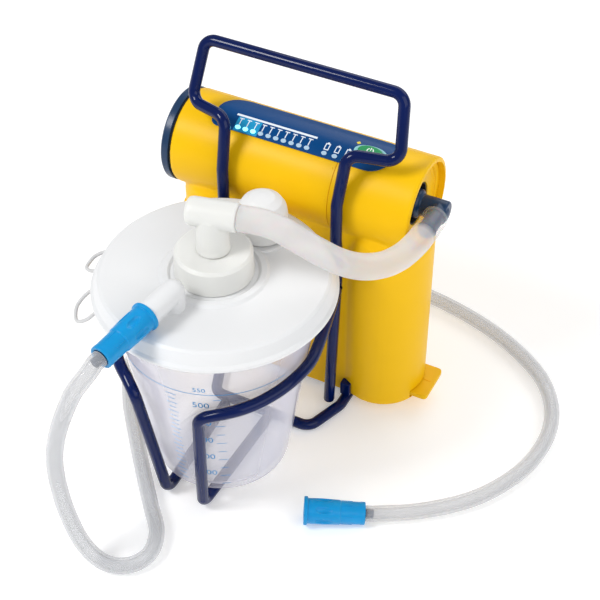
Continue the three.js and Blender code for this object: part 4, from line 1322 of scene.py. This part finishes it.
KEPT = {
    "case_screw_1": "screw", "case_screw_2": "screw", "case_screw_3": "screw", "case_screw_4": "screw",
    "regulator_valve": "brass", "power_inlet": "black", "pump_motor": "steel", "motor_spindle": "steel",
    "pump_body": "black", "pump_diaphragm": "rubber", "pump_cover": "black", "pump_hose": "hose",
    "vacuum_line": "hose", "exhaust_silencer": "black", "battery_pack": "battery", "circuit_board": "board",
}


def finish_inside():
    """Gives the machined and inner pieces, which stay as they are, their finishes."""
    for node, finish in KEPT.items():
        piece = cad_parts[node]
        piece.data.materials.clear()
        piece.data.materials.append(FINISHES[finish].material)


# ---------- operators ----------

class PumpStep:
    """What every step shares: it runs its make function and says that it finished."""

    bl_options = {"REGISTER", "UNDO"}

    def execute(self, context):
        if not FINISHES:
            FINISHES.update(make_finishes())
        self.make()
        return {"FINISHED"}


class PUMP_OT_stage(PumpStep, bpy.types.Operator):
    """Make the camera, the studio light and the floor"""

    bl_idname = "pump.stage"
    bl_label = "Stage"

    def make(self):
        make_camera()
        make_stage()


class PUMP_OT_cords(PumpStep, bpy.types.Operator):
    """Make the patient tube, the vacuum hose, the tethers and the connectors"""

    bl_idname = "pump.cords"
    bl_label = "Hose and Tube"

    def make(self):
        make_cords()


class PUMP_OT_housing(PumpStep, bpy.types.Operator):
    """Make the two housing shells and the fittings at their ends and sides"""

    bl_idname = "pump.housing"
    bl_label = "Housing"

    def make(self):
        make_housing()


class PUMP_OT_panel(PumpStep, bpy.types.Operator):
    """Make the control panel, its lamps and the power button"""

    bl_idname = "pump.panel"
    bl_label = "Control Panel"

    def make(self):
        make_panel()


class PUMP_OT_frame(PumpStep, bpy.types.Operator):
    """Make the bent wire frame and the canister's cradle"""

    bl_idname = "pump.frame"
    bl_label = "Wire Frame"

    def make(self):
        make_frame()


class PUMP_OT_canister(PumpStep, bpy.types.Operator):
    """Make the canister, its scale and the float"""

    bl_idname = "pump.canister"
    bl_label = "Canister"

    def make(self):
        make_canister()


class PUMP_OT_lid(PumpStep, bpy.types.Operator):
    """Make the lid, the filter cap, the tee and the pour spout's cap"""

    bl_idname = "pump.lid"
    bl_label = "Lid"

    def make(self):
        make_lid()


class PUMP_OT_inside(PumpStep, bpy.types.Operator):
    """Finish the screws and the inner pieces"""

    bl_idname = "pump.inside"
    bl_label = "Inner Pieces"

    def make(self):
        finish_inside()


STEPS = (
    PUMP_OT_stage, PUMP_OT_cords, PUMP_OT_housing, PUMP_OT_panel, PUMP_OT_frame, PUMP_OT_canister,
    PUMP_OT_lid,
    PUMP_OT_inside,
)


class PUMP_PT_sidebar(bpy.types.Panel):
    """Lists the pump's steps, sizes and colours"""

    bl_label = "Suction Pump"
    bl_idname = "PUMP_PT_sidebar"
    bl_space_type = "VIEW_3D"
    bl_region_type = "UI"
    bl_category = "Suction Pump"

    def draw(self, context):
        for group in (context.scene.pump_sizes, context.scene.pump_colours):
            for name in group.__annotations__:
                self.layout.prop(group, name)
        for step in STEPS:
            self.layout.operator(step.bl_idname)


CLASSES = (PumpSizes, PumpColours, *STEPS, PUMP_PT_sidebar)


def register():
    for item in CLASSES:
        bpy.utils.register_class(item)
    bpy.types.Scene.pump_sizes = PointerProperty(type=PumpSizes)
    bpy.types.Scene.pump_colours = PointerProperty(type=PumpColours)


def unregister():
    del bpy.types.Scene.pump_colours
    del bpy.types.Scene.pump_sizes
    for item in reversed(CLASSES):
        bpy.utils.unregister_class(item)


def main():
    register()
    for step in STEPS:
        group, name = step.bl_idname.split(".")
        getattr(getattr(bpy.ops, group), name)()
    boxes = {"cad": CAD_BOX, "visual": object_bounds()}
    {key: [list(corner) for corner in box] for key, box in boxes.items()}


if __name__ == "__main__":
    main()
